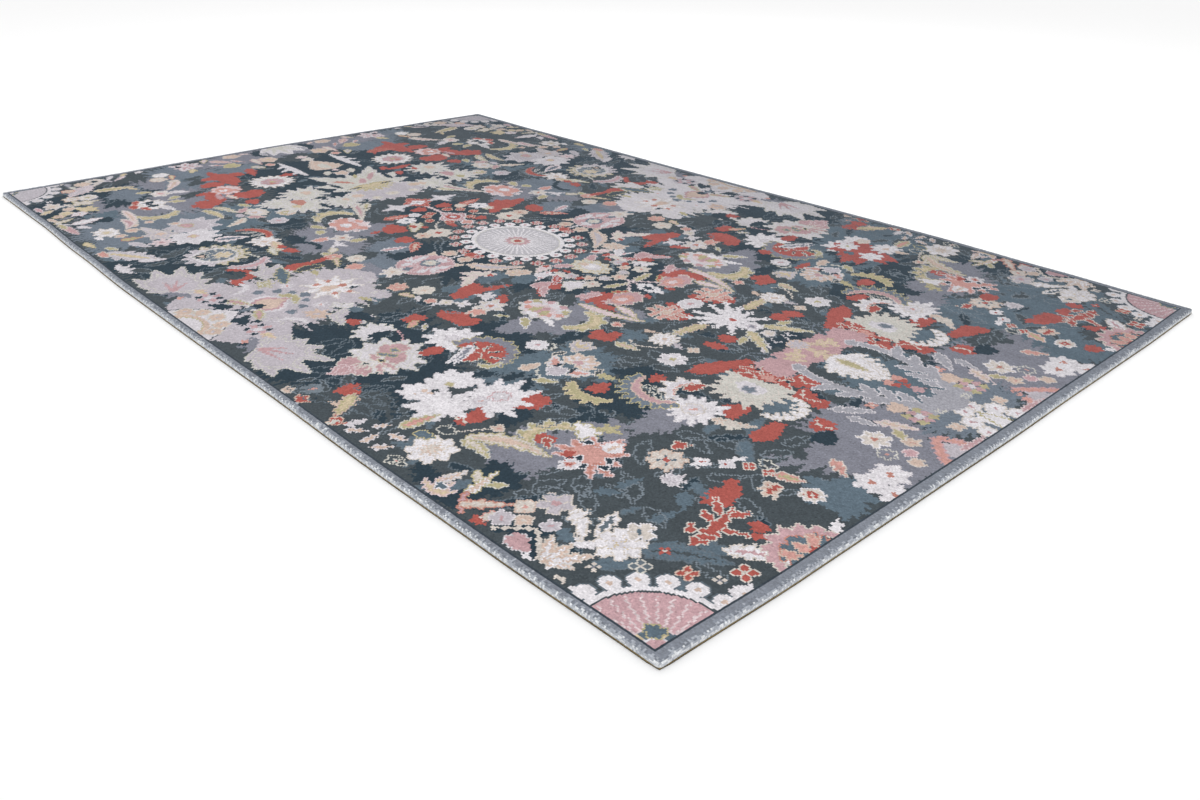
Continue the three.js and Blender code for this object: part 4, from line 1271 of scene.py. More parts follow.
# Between the medallion and the white cluster
def innerLeft():
    star(-34.5, -33.5, 3.2, 6, "cream", "mist", heart="rust", uneven=0.1)
    spray(-30.5, -37.5, [(30, 3.4, 1.6), (150, 3.4, 1.6), (90, 2.8, 1.4), (-60, 3, 1.4)], "mist")
    patch(-37, -38.5, 1.5, 2.1, 0, "pink", "mist")
    leaf(-47, -33.6, 5.4, 2.8, 20, "olive", "cream")
    leaf(-42.4, -35.6, 3.6, 2.4, -30, "olive", "bone")
    leaf(-30, -31, 4.4, 2.4, 70, "olive", "cream")
    stem([(-40, -46), (-37, -42.4), (-33, -41.4), (-31, -42.6)], "navy", width=0.8)
    leaf(-27, -40.6, 4, 2, -40, "cream", "olive")
    leaf(-25.4, -43.2, 3.4, 1.6, 20, "olive", "bone")
    palmette(-43.4, -26, 15, 11, 0, "petal", "pink", "mist", "white", teeth=12)
    scatter(patch, (
        (-48.4, -25.4, 1.6, 2, 0), (-38.6, -24.6, 1.8, 1.4, 20), (-44.6, -22.2, 1.6, 1, 0),
        (-41, -29.6, 2, 1.1, 20), (-46.6, -29.4, 1.6, 1, -20),
    ), yarn="pink")
    patch(-43.6, -26.4, 1.4, 1.1, 0, "white")
    crescent(-51.4, -25.6, 5.2, 3.2, 84, 272, "olive", "bone", "gold", teeth=6)
    leaf(-53.6, -17.6, 19, 3.4, -22, "bone", "cream", "rose", bend=1)
    leaf(-55, -13.4, 8, 3, -34, "cream", "bone", "olive")
    patch(-31.8, -18.6, 4, 3.4, -10, "red")
    leaf(-32.6, -23.6, 4.6, 2, 95, "red")
    leaf(-23, -22, 6.6, 3, 60, "red")
    leaf(-29.4, -13.2, 9.4, 4, -40, "cream", "olive")
    patch(-27.6, -11.2, 1.2, 0.9, 0, "red")
    patch(-30.2, -13.4, 1.4, 0.9, 0, "red")
    ghost(-37, -27, 5, 2.4, 60)
    ghost(-58, -21, 6, 3, 20)
    ghost(-57, -30, 5, 2.6, 70)
    ghost(-60, -9, 5, 2.4, 30)


# The middle line from the medallion to the left edge
def middleLineLeft():
    scatter(patch, (
        (-38, 0.6, 13, 11), (-105, 1, 17, 14), (-134, 10, 5, 2.4), (-134, -8, 5, 2.6),
    ), turn=0, yarn="navy")
    patch(-54, 1, 6, 13, 0, "slate")
    patch(-121, 1, 6, 6, 0, "slate")
    star(-30.4, 0.5, 5.4, 4, "rose", "white", ring="red", heart="mist", depth=0.32,
            squash=0.86)
    star(-23.8, 0.8, 2, 4, "pink", "white", depth=0.32)
    scatter(patch, (
        (-24.5, 6, 1.5, 2), (-25, -4, 2.5, 1), (-41.5, 5, 2.2, 2.5), (-42.5, -3, 2, 2.5),
        (-30.8, 19, 4, 4), (-31, 25, 1.6, 2.4), (-22.6, 24, 2.6, 2.6),
    ), turn=0, yarn="red")
    patch(-27.6, 13.6, 1.6, 2.6, 20, "red")
    leaf(-39.4, 13, 8.4, 3.6, 100, "red", "rust", "pink")
    leaf(-40.4, -12, 8.4, 3.8, 80, "red", "rust", "pink")
    stem([(-45, 0.5), (-41, 0.6), (-36, 0.5)], "petal", width=0.5)
    star(-49, 0.8, 5.2, 4, "red", "pink", depth=0.34)
    star(-49, 0.8, 2.4, 4, "white", "rose", heart="flint", depth=0.3)
    scatter(spray, (
        (-48.4, 8.8), (-48.4, -7.2),
    ), blades=[(90, 6, 2), (270, 5, 2), (0, 4.4, 1.7), (180, 4.4, 1.7), (45, 3, 1.2), (135, 3, 1.2)],
        yarn="mist", rim="ash")
    scatter(flower, (
        (-35, 6.5), (-31, 8.3), (-37.5, 3.5), (-37, -2.8), (-35.5, -5.2), (-31.6, -6.8), (-27.2, 4.4),
        (-27.2, -3),
    ), radius=1.4, petals=5, yarn="red", rim="peach", heart="cream")
    flower(-38, 8.6, 1.7, 5, "cream", "peach")
    flower(-39, -7, 1.6, 5, "mist", "white")
    scatter(star, (
        (-34.5, 12.8), (-36, -11.8),
    ), radius=2.9, points=7, yarn="white", rim="mist", heart="flint", depth=0.35)
    stem([(-29, 6.6), (-27, 9.4), (-24.4, 10.8)], "cream", width=0.3)
    stem([(-29, -5.4), (-27, -8), (-24.4, -9.4)], "cream", width=0.3)
    # The off-white cluster
    for x, y, radius, squash in ((-80, 26, 7.4, 1), (-67.4, 28, 8, 0.95), (-79, -20.4, 8, 1),
            (-69, -26.6, 8.4, 1), (-64.6, -15.4, 6.6, 0.9), (-64.4, 16.4, 6.4, 1),
            (-75.4, -31.4, 5.2, 1.1)):
        star(x, y, radius * 1.06, 13, "bone", "mist", uneven=0.12, squash=squash)
    spray(-75, 0.5, [(150, 23, 9), (208, 23, 9), (120, 17, 9), (240, 17, 9), (92, 14, 9), (268, 13, 9),
            (50, 20, 9), (-50, 20, 9), (180, 15, 9)], "bone", "mist", blunt=0.7, teeth=5)
    patch(-76, 0.5, 10, 9, 0, "bone", uneven=0.04)
    for yarn, wider in (("mist", 0.5), ("lilac", 0)):
        star(-65.6, 1.2, 9.6 + wider, 20, yarn, depth=0.18, squash=1.34)
    spray(-76, 0.6, [(angle, 8.4, 2.6) for angle in range(-80, 81, 20)], "olive", "cream", "gold")
    scatter(flower, (
        (-66.8, 11.4, 1.9, 6, "peach"), (-62.6, 0.8, 1.9, 6, "cream"), (-66.8, -9, 1.9, 6, "peach"),
        (-61.4, 7.4, 1.4, 6, "cream"), (-61.4, -5.6, 1.4, 6, "cream"),
    ), rim="bone", heart="gold")
    scatter(patch, (
        (-80.6, 1, 3, 1.2, -30, "rose", "cream"), (-70.4, 27, 3, 1.9, 0, "rose"),
        (-72.4, -26, 3, 2, 0, "rust"), (-63, 2.4, 0.7, 0.6, 0, "cream"),
        (-63, -0.6, 0.7, 0.6, 0, "cream"), (-84, 6, 4.6, 1, -38, "rose"),
        (-83, -4.6, 3.6, 1, 38, "rust"), (-65, 28.4, 1.7, 1.3, 0, "olive"),
        (-69, -28.4, 1.5, 1.2, 0, "gold"), (-87, 2, 2.4, 0.7, -30, "olive"),
        (-81.6, 15.6, 2.2, 1.3, -30, "red"), (-83, 22.3, 1.6, 0.8, -10, "red"),
    ))
    for y in (6.6, -5.6):
        leaf(-74.4, y, 6, 1.1, 90 if y > 0 else -90, "navy")
    scatter(patch, (
        (-66, 14, 1.6, 1.1), (-66.5, 10.4, 1.1, 0.9), (-67, -9.6, 1.4, 1), (-66, -13.6, 1.4, 1),
        (-81, 27, 2, 1.6), (-80, -19.4, 1.9, 1.5),
    ), turn=0, yarn="peach")
    scatter(patch, (
        (-71.5, 12.4, 0.9, 2.2, 0), (-81, 10.4, 3.6, 1, -10), (-76.4, 16, 1.8, 1, 0),
        (-67, 23.4, 2.6, 1.1, 0), (-72.4, -11.4, 0.9, 2.6, 10), (-80, -8.8, 3.2, 0.9, 10),
        (-79, -13.6, 3.6, 1.1, 10), (-65, -21.6, 2.4, 1, 0), (-73.6, 20, 1.2, 1.8, 0),
        (-72.6, -18.6, 1.1, 2, 0),
    ), yarn="navy")
    # Pieces left of the cluster, and the peach drop with its tail
    leaf(-94.4, 5, 5, 2.6, -20, "bone", "cream")
    star(-93.4, 1, 2.8, 5, "peach", "mist", uneven=0.2)
    leaf(-95.8, -3, 5, 2.4, -30, "bone", "cream")
    patch(-98.4, 1.4, 1.4, 0.9, 0, "petal")
    leaf(-107.4, 1, 14, 11.4, 180, "peach", "cream", teeth=6, depth=0.3, blunt=0.5)
    patch(-105, 1, 3.6, 1.7, 0, "bone")
    star(-116.5, 1.2, 2.2, 5, "cream", "mist", uneven=0.15)
    star(-120.4, 1.1, 1.9, 4, "petal", "cream", uneven=0.15)
    for way in (1, -1):
        line = 0.6
        leaf(-107.4, line + way * 9.7, 22, 2.4, 0, "mist", "white", blunt=1)
        for x, lift in ((-112.4, 11), (-108, 12), (-103, 10.8)):
            leaf(x, line + way * lift, 4.6, 1.7, way * 62, "mist", "white")
        star(-98.4 - (0.3 if way < 0 else 0), 1.3 + way * 22.5, 7.4, 16, "white", "cream", depth=0.26,
                uneven=0.05)
        flower(-98.4, 1.3 + way * 22.5, 3.7, 8, "rose", "lilac", heart="olive", depth=0.14)
        patch(-96.6, 1.3 + way * 23.4, 1.1, 0.9, 0, "rust")
        # Half rosette and the flowers by it
        leaf(-132, line + way * 7.6, 4, 1.8, 0, "ash", "mist")
        flower(-125, line + way * 9.8, 3.6, 5, "peach", "cream", heart="gold", squash=0.8)
        flower(-118.3, line + way * 12.4, 1.6, 4, "pink", "cream")
        leaf(-125, line + way * 14, 8.4, 2.8, way * 6, "cream", "rose")
        leaf(-117.6, line + way * 16.8, 5.4, 3, -way * 30, "cream", "olive", "lilac")
        patch(-125.4, line + way * 22.8, 2.7, 2.6, 0, "olive", "gold")
        flower(-136.7, line + way * 17.6, 2.5, 5, "peach", "cream", squash=1.2)
        leaf(-132.4, line + way * 23.4, 8, 3.4, -way * 40, "rose", "petal", "peach")
        leaf(-129.4, line + way * 18.6, 6, 2, -way * 30, "petal", core="rust")
        leaf(-129, line + way * 26.6, 5, 2.2, -way * 50, "mist", core="pink")
        leaf(-136.4, line + way * 27.6, 5, 2.2, way * 30, "petal", "olive")
        leaf(-137, line + way * 12.4, 5, 2, -way * 50, "petal", core="peach")
    spray(-140.4, 0.9, [(0, 13.6, 6.4), (27, 13, 5.6), (-27, 13, 5.6), (54, 10, 4.6), (-54, 10, 4.6)],
            "mist", "white", "bone")
    leaf(-111, 27, 10, 5, 76, "red", "rust", bend=0.8)
    leaf(-109.4, 23.6, 5, 1.6, -36, "red")
    patch(-87.6, 19.4, 1.5, 4.6, 4, "red")
    patch(-89.8, 14.6, 2.2, 1.3, -30, "red")
    tulip(-103, -13.6, 6, 5, 10, "red")
    leaf(-113.4, -21, 10.4, 4.6, -14, "red")


# The left end in front, with its reds and pink peony
def leftEnd():
    scatter(patch, (
        (-114, -26.4, 2.4, 3, 0), (-111.6, -31, 9, 3.2, 2), (-114.2, -35, 2.1, 2.6, 0),
        (-107.2, -37.2, 2.9, 3.8, 0), (-90.2, -33.4, 3.9, 5.4, 0), (-82.6, -35.6, 2, 1.9, 0),
        (-94, -42.4, 6.4, 2.6, -10), (-88.4, -47.2, 4.4, 3.6, -30), (-99, -44, 1.5, 2.2, 0),
        (-88.6, -50.6, 1.5, 1.6, 0),
    ), yarn="red")
    leaf(-119.6, -31.6, 6, 2.4, 8, "red")
    palmette(-99, -36.4, 10.6, 9.4, 0, "petal", "pink", "white", "pink", teeth=9)
    patch(-101, -37.4, 1.6, 1.2, 20, "pink")
    patch(-97, -34.4, 1.4, 1, 20, "pink")
    leaf(-90.4, -38.4, 6, 2, 10, "cream", "pink")
    patch(-93, -41.4, 3, 1, -10, "rose")
    # Lilac-white flower by the edge
    spray(-134, -34.4, [(60, 5.6, 3), (110, 5.6, 3), (0, 5.6, 3), (-30, 6, 3), (160, 5, 3),
            (-130, 5.6, 3), (-80, 4, 2.6)], "mist", "petal", "rose")
    patch(-135, -36.6, 1.1, 1, 0, "navy")
    leaf(-127, -35, 5, 2.6, -30, "gold", "olive")
    flower(-128.8, -45, 2.4, 5, "white", "bone", depth=0.12)
    flower(-124, -47.6, 2.5, 5, "cream", "peach", depth=0.12)
    leaf(-124, -43.2, 6, 1.7, -18, "gold", "rust")
    leaf(-115.4, -47, 13, 3.4, -34, "petal", "cream", "peach", bend=0.6)
    leaf(-119, -44.4, 4.6, 3, 40, "cream")
    leaf(-106.4, -48, 5.8, 3.4, 55, "mist", "lilac")
    star(-108.2, -53.4, 3.7, 6, "cream", "white", ring="petal", heart="pink", depth=0.3, squash=0.84)
    leaf(-101.4, -52, 4, 2.4, -60, "olive", "bone")
    leaf(-97, -52.6, 4.8, 2.8, 60, "olive", "cream")
    leaf(-112.4, -56.6, 4.8, 2.6, 70, "olive", "cream")
    leaf(-137, -49, 3.6, 2.2, -50, "mist")
    # Olive fern and mottled leaves up the edge
    leaf(-122.6, -61.8, 12, 4.6, 78, "gold", "cream", "olive", teeth=6, depth=0.55)
    leaf(-118.8, -57.4, 4.4, 1.6, 30, "gold")
    scatter(leaf, (
        (-136.6, -54, 6, 2, -30, "gold"), (-133.4, -56.4, 6, 2, -50, "petal"),
        (-136, -58.6, 6, 2.2, -30, "mist"), (-131, -64.6, 5.4, 2, -40, "cream"),
        (-135.4, -71.4, 5, 1.8, -10, "ash"), (-137.6, -73.4, 5, 1.8, -50, "cream"),
        (-131.4, -71.2, 4.4, 1.4, 10, "bone"), (-133, -60.4, 4, 1.6, 30, "lilac"),
    ), rim="mauve")
    flower(-135, -63.6, 2.9, 7, "cream", "mist", heart="navy", depth=0.14)
    patch(-135, -63.6, 1.1, 1, 0, "navy")
    flower(-134, -67.6, 2.3, 5, "peach", "cream", depth=0.12)
    leaf(-126.8, -70.6, 14, 6, -46, "lilac", "petal", blunt=0.9)
    flower(-128.8, -73.6, 1.8, 5, "peach", "rust", depth=0.12)
    # Small flowers between the fan and the next corner
    flower(-118.4, -71.4, 2.7, 7, "cream", "white", heart="olive", depth=0.2)
    star(-119.4, -75.8, 3.2, 6, "cream", "peach", ring="mist", heart="gold", squash=0.8)
    spray(-113, -75.4, [(95, 5.4, 2), (130, 4, 1.6), (60, 4, 1.6), (-80, 4, 1.8), (190, 4, 1.6)], "cream",
            "olive")
    spray(-106.4, -76.4, [(40, 4.4, 2.2), (80, 4, 2.2), (130, 4, 2), (200, 4, 2), (-20, 3.6, 1.8)],
            "gold", "olive")
    leaf(-113, -78.4, 5.4, 2, 16, "cream", "mauve")
    star(-103, -79, 2.4, 5, "mist", "petal", heart="pink")
    flower(-109.8, -79.6, 1.7, 5, "peach", "cream")
    flower(-106, -81.6, 1.7, 5, "gold", "cream")
    flower(-104, -84.2, 1.7, 5, "peach", "olive")
    star(-115.2, -82.4, 3.6, 6, "cream", "mist", heart="peach", uneven=0.14, squash=0.8)
    cross(-120.8, -81.6, 1.1, "white", turn=45)
    leaf(-114, -86.6, 5.4, 1.8, 4, "blush", "mist")
    leaf(-110, -85.8, 5, 2.2, -50, "gold", "cream")
    leaf(-98.6, -84.6, 6, 2, 110, "cream", "olive")
    leaf(-101, -86.8, 5, 1.5, 6, "peach", "cream")
    # Lilac leaf among dark ones, and the long curl
    patch(-92.6, -75.4, 2.4, 2.2, 0, "navy")
    patch(-92.6, -78.6, 1.2, 2, 0, "navy")
    patch(-92, -82.6, 1.4, 1.6, 0, "navy")
    leaf(-94.6, -79.4, 9, 4.2, 98, "mist", "petal", "white")
    stem([(-93.4, -83), (-95, -85.2), (-97, -86.8)], "mist", width=0.5)
    leaf(-89.4, -82.2, 4.6, 2.6, 30, "mist", "lilac")
    leaf(-89, -86, 11, 2.6, 4, "rose", "petal")
    leaf(-93.4, -86.6, 6, 1.8, 4, "olive", "cream")
    leaf(-90, -69.6, 16, 2.8, -8, "petal", "bone", "peach", bend=0.6)
    leaf(-85, -73, 10, 3.4, -14, "petal", "cream", "rose", bend=1.6)
    crescent(-90, -62, 5.4, 3, -92, 72, "olive", "bone", "gold", teeth=6)
    leaf(-92.4, -57.6, 7, 2.6, 14, "mist", "white")
    # Red and white palmette
    star(-99, -60.4, 6, 9, "white", "cream", depth=0.3, squash=0.82)
    patch(-101, -59.8, 1.2, 1.6, -14, "navy")
    patch(-97.2, -59.8, 1.2, 1.6, 14, "navy")
    patch(-99.1, -60.6, 0.8, 0.8, 0, "navy")
    leaf(-103, -63, 4.6, 2, -24, "red", "pink")
    leaf(-95.4, -62.6, 4.6, 1.8, 16, "red", "pink")
    leaf(-99, -65, 4, 2.2, -10, "red", "pink")
    star(-99, -57.2, 2, 5, "white", "cream")
    fan(-138.9, -88.6, "lilac", "discGrey", "mist", "cream", side=-1)


# Ground of the far half, where it differs from the near one
def farGround():
    scatter(patch, (
        (120, 56, 24, 26, 0, "steel"), (126, 77, 13, 8, 0, "slate"), (133, 60, 5, 8, 0, "slate"),
        (66, 62, 13, 26, 0, "steel"), (54, 77, 8, 13, 0, "steel"), (83, 83, 9, 6, 0, "slate"),
        (93, 81, 8, 7, 0, "navy"), (84, 53, 11, 8, -24, "navy"), (79, 61, 4, 9, 0, "navy"),
        (93, 63, 8, 14, 0, "mauve"), (78, 38, 10, 5, 0, "navy"), (-106, 64, 36, 26, 0, "slate"),
        (-122, 80, 14, 9, 0, "navy"), (-84, 74, 12, 14, 0, "slate"), (-70, 62, 10, 16, 0, "navy"),
        (-36, 42, 12, 8, 0, "flint"), (-30, 60, 7, 12, 0, "slate"),
    ), uneven=0.2)


def baseGround():
    scatter(patch, (
        (-46, -68, 17, 22, 0, "navy"), (-70, -46, 13, 15, 0, "steel"),
        (-35, -38, 15, 8, 0, "mauve"), (-55, -39, 5, 6, 0, "navy"), (-42, -43.4, 4, 2.6, 0, "navy"),
        (-78, -70, 15, 20, 0, "flint"), (-106, -57, 22, 22, 0, "mauve"),
        (-122, -40, 16, 10, 0, "flint"), (-113, -62.6, 13, 8.4, 0, "navy"),
        (-114, -61, 8, 5.4, -20, "flint"), (-112, -82, 13, 8, 0, "navy"),
        (-124, -66, 4, 12, 0, "navy"), (-118, -39, 2, 4.4, 0, "slate"),
        (-112.6, -40, 2.4, 3.4, 30, "slate"), (-101, -46, 2.6, 5, 20, "slate"),
        (-133, -70, 8, 16, 0, "slate"), (-96, -75, 5, 5, 20, "steel"), (-100, -10, 22, 20, 0, "navy"),
        (-132, -14, 9, 20, 0, "mauve"), (-120, -22, 6, 8, 0, "flint"),
        (-52, -12, 13, 16, 0, "slate"), (-66, -27, 8, 6, 0, "steel"), (-74, -20, 16, 14, 0, "navy"),
        (-38, -26, 8, 8, 0, "mauve"), (36, -70, 24, 20, 0, "navy"), (64, -54, 8, 7, 0, "steel"),
        (90, -64, 8, 6, 20, "mauve"), (89, -72, 7.5, 4.4, 10, "mauve"),
        (92, -53, 5, 3.5, 0, "mauve"), (92, -79, 6, 4.4, -60, "navy"), (86, -51, 4, 2.6, 0, "navy"),
        (77, -63, 2.6, 4, 0, "navy"), (88, -86.5, 9, 3, 0, "navy"), (107, -84.5, 4, 2.2, 30, "navy"),
        (62, -73.5, 3, 2.5, 0, "navy"), (53, -82, 9, 7, 0, "slate"),
    ), uneven=0.22)


# Dim leaves all over the ground, filled in another tone of it and thinly outlined
groundLeaves = {
    "tries": 900,
    "length": (3.6, 10.5),
    "width": (0.3, 0.5),     # as a share of the length
    "tones": ("navy", "slate", "steel", "slate"),
}


def paintGroundLeaves():
    places = np.random.default_rng(rug["seed"] + 1)
    taken = np.zeros(chart.shape, bool)
    tones = [yarnIndex[name] for name in groundLeaves["tones"]]
    for index in range(groundLeaves["tries"]):
        x, y = places.uniform(-139, 139), places.uniform(-88, 3)
        length = places.uniform(*groundLeaves["length"])
        width = length * places.uniform(*groundLeaves["width"])
        turn = places.uniform(0, 360)
        bend = places.uniform(-0.15, 0.15) * length
        teeth = int(places.integers(3, 6))
        area, u, v = near(x, y, length * 0.62 + abs(bend), turn)
        mask = leafMask(u, v, length, width, bend, teeth, 0.5, 0.7)
        if not mask.any() or (taken[area] & mask).any():
            continue
        taken[area] |= grown(mask)
        on = np.isin(chart[area], tones)
        chart[area][grown(mask) & ~mask & on] = yarnIndex["faint" if index % 2 else "dim"]
        chart[area][mask & on] = tones[index % 4]


def paintBorder():
    row, column = np.indices(chart.shape)
    fromSide = {
        "front": row,
        "back": chart.shape[0] - 1 - row,
        "left": column,
        "right": chart.shape[1] - 1 - column,
    }
    inBand = np.minimum.reduce([fromSide[side] - rug["band"][side] for side in fromSide])
    chart[inBand <= 0] = yarnIndex["guard"]
    chart[inBand < 0] = yarnIndex["borderGrey"]
    # Painted highlight: the outermost knots turn pale grey and white in flecks and clumps, where the rounded
    # shoulder catches the light
    fromEdge = np.minimum.reduce(list(fromSide.values()))
    along = np.where(np.minimum(row, chart.shape[0] - 1 - row) == fromEdge, column, row)
    highlightFleck = rng.random((8, chart.shape[1]))[fromEdge % 8, along]
    highlightClump = np.convolve(rng.random(chart.shape[1]), np.ones(9) / 9, "same")[along]
    reach = -0.5 + 2.6 * highlightFleck ** 2 + 9 * np.clip(highlightClump - 0.56, 0, 1) * highlightFleck
    chart[fromEdge < reach + 1] = yarnIndex["edgeHighlightPale"]
    chart[fromEdge < reach - 0.8] = yarnIndex["edgeHighlightWhite"]


for onTop in (True, False):
    mirror["on"] = onTop
    baseGround()
mirror["on"] = False
farGround()
for onTop in (True, False):
    mirror["on"] = onTop
    paintGroundLeaves()
for onTop in (True, False):
    mirror["on"] = onTop
    frontLeft()
    innerLeft()
    leftEnd()
    innerField()
    middleRight()
    cloudPalmette()
    frontField()
    frontRight()
    nearCorner()
mirror["on"] = False
farRed()
middleLineRight()
middleLineLeft()
paintMedallion()
paintBorder()
# End of the knot chart
print("pattern: the knots are painted")

pile = {
    "strips": ("pileFront", "pileFrontMiddle", "pileMiddle", "pileBackMiddle", "pileBack"),
    "bottom": 0.0025,           # heights in metres above the floor
    "sideMiddle": 0.0055,
    "top": 0.012,
    "shoulderDrop": 0.004,
    "shoulderInset": 0.006,
    "unevenTop": 0.00022,
    "fibreScale": 700,
    "fibreShade": (0.8, 1.12),   # how much the fibres darken and lighten their knot
    "fibreBump": (0.5, 0.001),   # strength and distance
}
# Where the strips lie on their maps, as shares of the map
stripMap = {"margin": 0.005, "blockStep": 0.3, "blockHigh": 0.29, "wallsFrom": 0.93, "wallsHigh": 0.06}
# Painted shade, as the pile's sheen darkens the colours: none at the front right corner, and more of it
# leftwards and backwards; and how the dye differs at random
shadeAndDye = {
    # the dark grey that the painted shade tends to
    "shadeTone": (66, 74, 83),
    "leftwards": 0.13,
    "backwards": 0.38,
    "knotSpread": 0.085,    # how far the knots of one yarn differ
    "rowSpread": 0.06,      # and its rows
}


def toLinear(colour):
    value = np.asarray(colour, float) / 255
    return np.where(value < 0.04045, value / 12.92, ((value + 0.055) / 1.055) ** 2.4)


# Heights of the pile's lines, with the rounded shoulder at the edge
def pileHeights():
    fromEnd = np.minimum(lineAlong, 1 - lineAlong)[None, :] * rug["length"] / 100
    fromSide = np.minimum(lineAcross, 1 - lineAcross)[:, None] * rug["width"] / 100
    inward = np.minimum(fromEnd, fromSide)
    part = np.clip(1 - inward / pile["shoulderInset"], 0, 1)
    height = pile["top"] - pile["shoulderDrop"] * (1 - np.sqrt(1 - part ** 2))
    uneven = rng.normal(0, pile["unevenTop"], height.shape)
    return height + uneven * (inward > 0)


# Colours of the knots: their yarn, painted shade darkening it leftwards and backwards, uneven dye from row
# to row, and small differences
def knotColours():
    table = toLinear([yarns[name] for name in yarns])
    colours = table[chart]
    share = shadeAndDye["leftwards"] * (0.5 - knotX / rug["length"])
    share = np.clip(share + shadeAndDye["backwards"] * (0.5 + knotY / rug["width"]) ** 2, 0, 1)[..., None]
    colours = colours * (1 - share) + toLinear(shadeAndDye["shadeTone"]) * share
    spread = rng.normal(1, shadeAndDye["knotSpread"], chart.shape)
    rows = 1 + np.convolve(rng.normal(0, shadeAndDye["rowSpread"], chart.shape[0]), np.ones(5) / 5, "same")
    colours = colours * (spread * rows[:, None])[..., None]
    return np.concatenate([colours, np.ones(chart.shape + (1,))], axis=2)


lineHeight = pileHeights()
knotColour = knotColours()


# One strip of the pile from side to side, a knot to each face, with its side walls and underside
def pileStrip(name, firstRow, lastRow):
    rows = lastRow - firstRow
    columns = rug["knotsAlong"]
    bpy.ops.object.select_all(action="DESELECT")
    bpy.ops.mesh.primitive_grid_add(x_subdivisions=columns, y_subdivisions=rows, size=1)
    strip = bpy.context.object
    strip.name = name
    mesh = strip.data
    mesh.name = name
    topCount = len(mesh.vertices)
    place = np.empty(topCount * 3, np.float32)
    mesh.vertices.foreach_get("co", place)
    place = place.reshape(-1, 3)
    column = np.rint((place[:, 0] + 0.5) * columns).astype(int)
    row = np.rint((place[:, 1] + 0.5) * rows).astype(int) + firstRow
    place[:, 0] = lineX[row, column] / 100
    place[:, 1] = lineY[row, column] / 100
    place[:, 2] = lineHeight[row, column]
    mesh.vertices.foreach_set("co", place.ravel())
    mesh.update()

    bpy.ops.object.mode_set(mode="EDIT")
    bpy.ops.mesh.select_mode(type="EDGE")
    bpy.ops.mesh.select_all(action="DESELECT")
    bpy.ops.mesh.select_non_manifold()
    bpy.ops.mesh.extrude_edges_move(TRANSFORM_OT_translate={"value": (0, 0, -0.002)})
    bpy.ops.mesh.extrude_edges_move(TRANSFORM_OT_translate={"value": (0, 0, -0.002)})
    bpy.ops.mesh.edge_face_add()
    bpy.ops.mesh.select_all(action="SELECT")
    bpy.ops.mesh.normals_make_consistent(inside=False)
    bpy.ops.object.mode_set(mode="OBJECT")

    rim = (len(mesh.vertices) - topCount) // 2
    place = np.empty(len(mesh.vertices) * 3, np.float32)
    mesh.vertices.foreach_get("co", place)
    place = place.reshape(-1, 3)
    place[topCount:topCount + rim, 2] = pile["sideMiddle"]
    place[topCount + rim:, 2] = pile["bottom"]
    mesh.vertices.foreach_set("co", place.ravel())
    mesh.update()

    corner = np.empty(len(mesh.loops), np.int32)
    mesh.loops.foreach_get("vertex_index", corner)
    start = np.empty(len(mesh.polygons), np.int32)
    mesh.polygons.foreach_get("loop_start", start)
    total = np.empty(len(mesh.polygons), np.int32)
    mesh.polygons.foreach_get("loop_total", total)
    isTop = np.maximum.reduceat(corner, start) < topCount

    # Each knot's face takes its colour, and the walls and underside take a painted highlight, a random mix
    # of pale grey and white
    faceColumn = np.minimum.reduceat(np.append(column, np.zeros(2 * rim, int))[corner], start)
    faceRow = np.minimum.reduceat(np.append(row, np.full(2 * rim, firstRow))[corner], start)
    colour = np.empty((len(start), 4), np.float32)
    highlightMix = np.clip(rng.normal(0.55, 0.35, len(start)), 0, 1)[:, None]
    colour[:, :3] = toLinear(yarns["edgeHighlightPale"]) * (1 - highlightMix) + toLinear(yarns["edgeHighlightWhite"]) * highlightMix
    colour[:, 3] = 1
    colour[isTop] = knotColour[faceRow[isTop], faceColumn[isTop]]
    mesh.attributes.new("knotColour", "FLOAT_COLOR", "FACE").data.foreach_set("color", colour.ravel())

    # The strip's map: three blocks of its face above one another, then its walls and underside in bands
    margin, along = stripMap["margin"], 1 - 2 * stripMap["margin"]
    blockColumns = columns // 3
    ofFace = np.repeat(np.arange(len(start)), total)
    block = np.minimum(faceColumn // blockColumns, 2)[ofFace]
    spots = np.zeros((len(corner), 2))
    top = isTop[ofFace]
    spots[top, 0] = margin + along * (column[corner[top]] - block[top] * blockColumns) / blockColumns
    upBlock = stripMap["blockHigh"] * (row[corner[top]] - firstRow) / rows
    spots[top, 1] = margin + stripMap["blockStep"] * block[top] + upBlock
    low = ~top
    around = np.arctan2(place[corner[low], 1] - place[:, 1].mean(), place[corner[low], 0])
    spots[low, 0] = margin + along * (around + math.pi) / (2 * math.pi)
    upWall = (place[corner[low], 2] - pile["bottom"]) / (pile["top"] - pile["bottom"])
    spots[low, 1] = stripMap["wallsFrom"] + stripMap["wallsHigh"] * upWall
    mesh.uv_layers.new(name="OFBake").data.foreach_set("uv", spots.astype(np.float32).ravel())

    bpy.ops.object.shade_smooth_by_angle(angle=math.radians(50))
    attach(strip, "root")
    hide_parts("pile")
    return strip


def newMaterial(name, roughness):
    material = bpy.data.materials.new(name)
    material.use_nodes = True
    nodes = material.node_tree.nodes
    shader = nodes["Principled BSDF"]
    shader.inputs["Roughness"].default_value = roughness
    return material, nodes, material.node_tree.links, shader


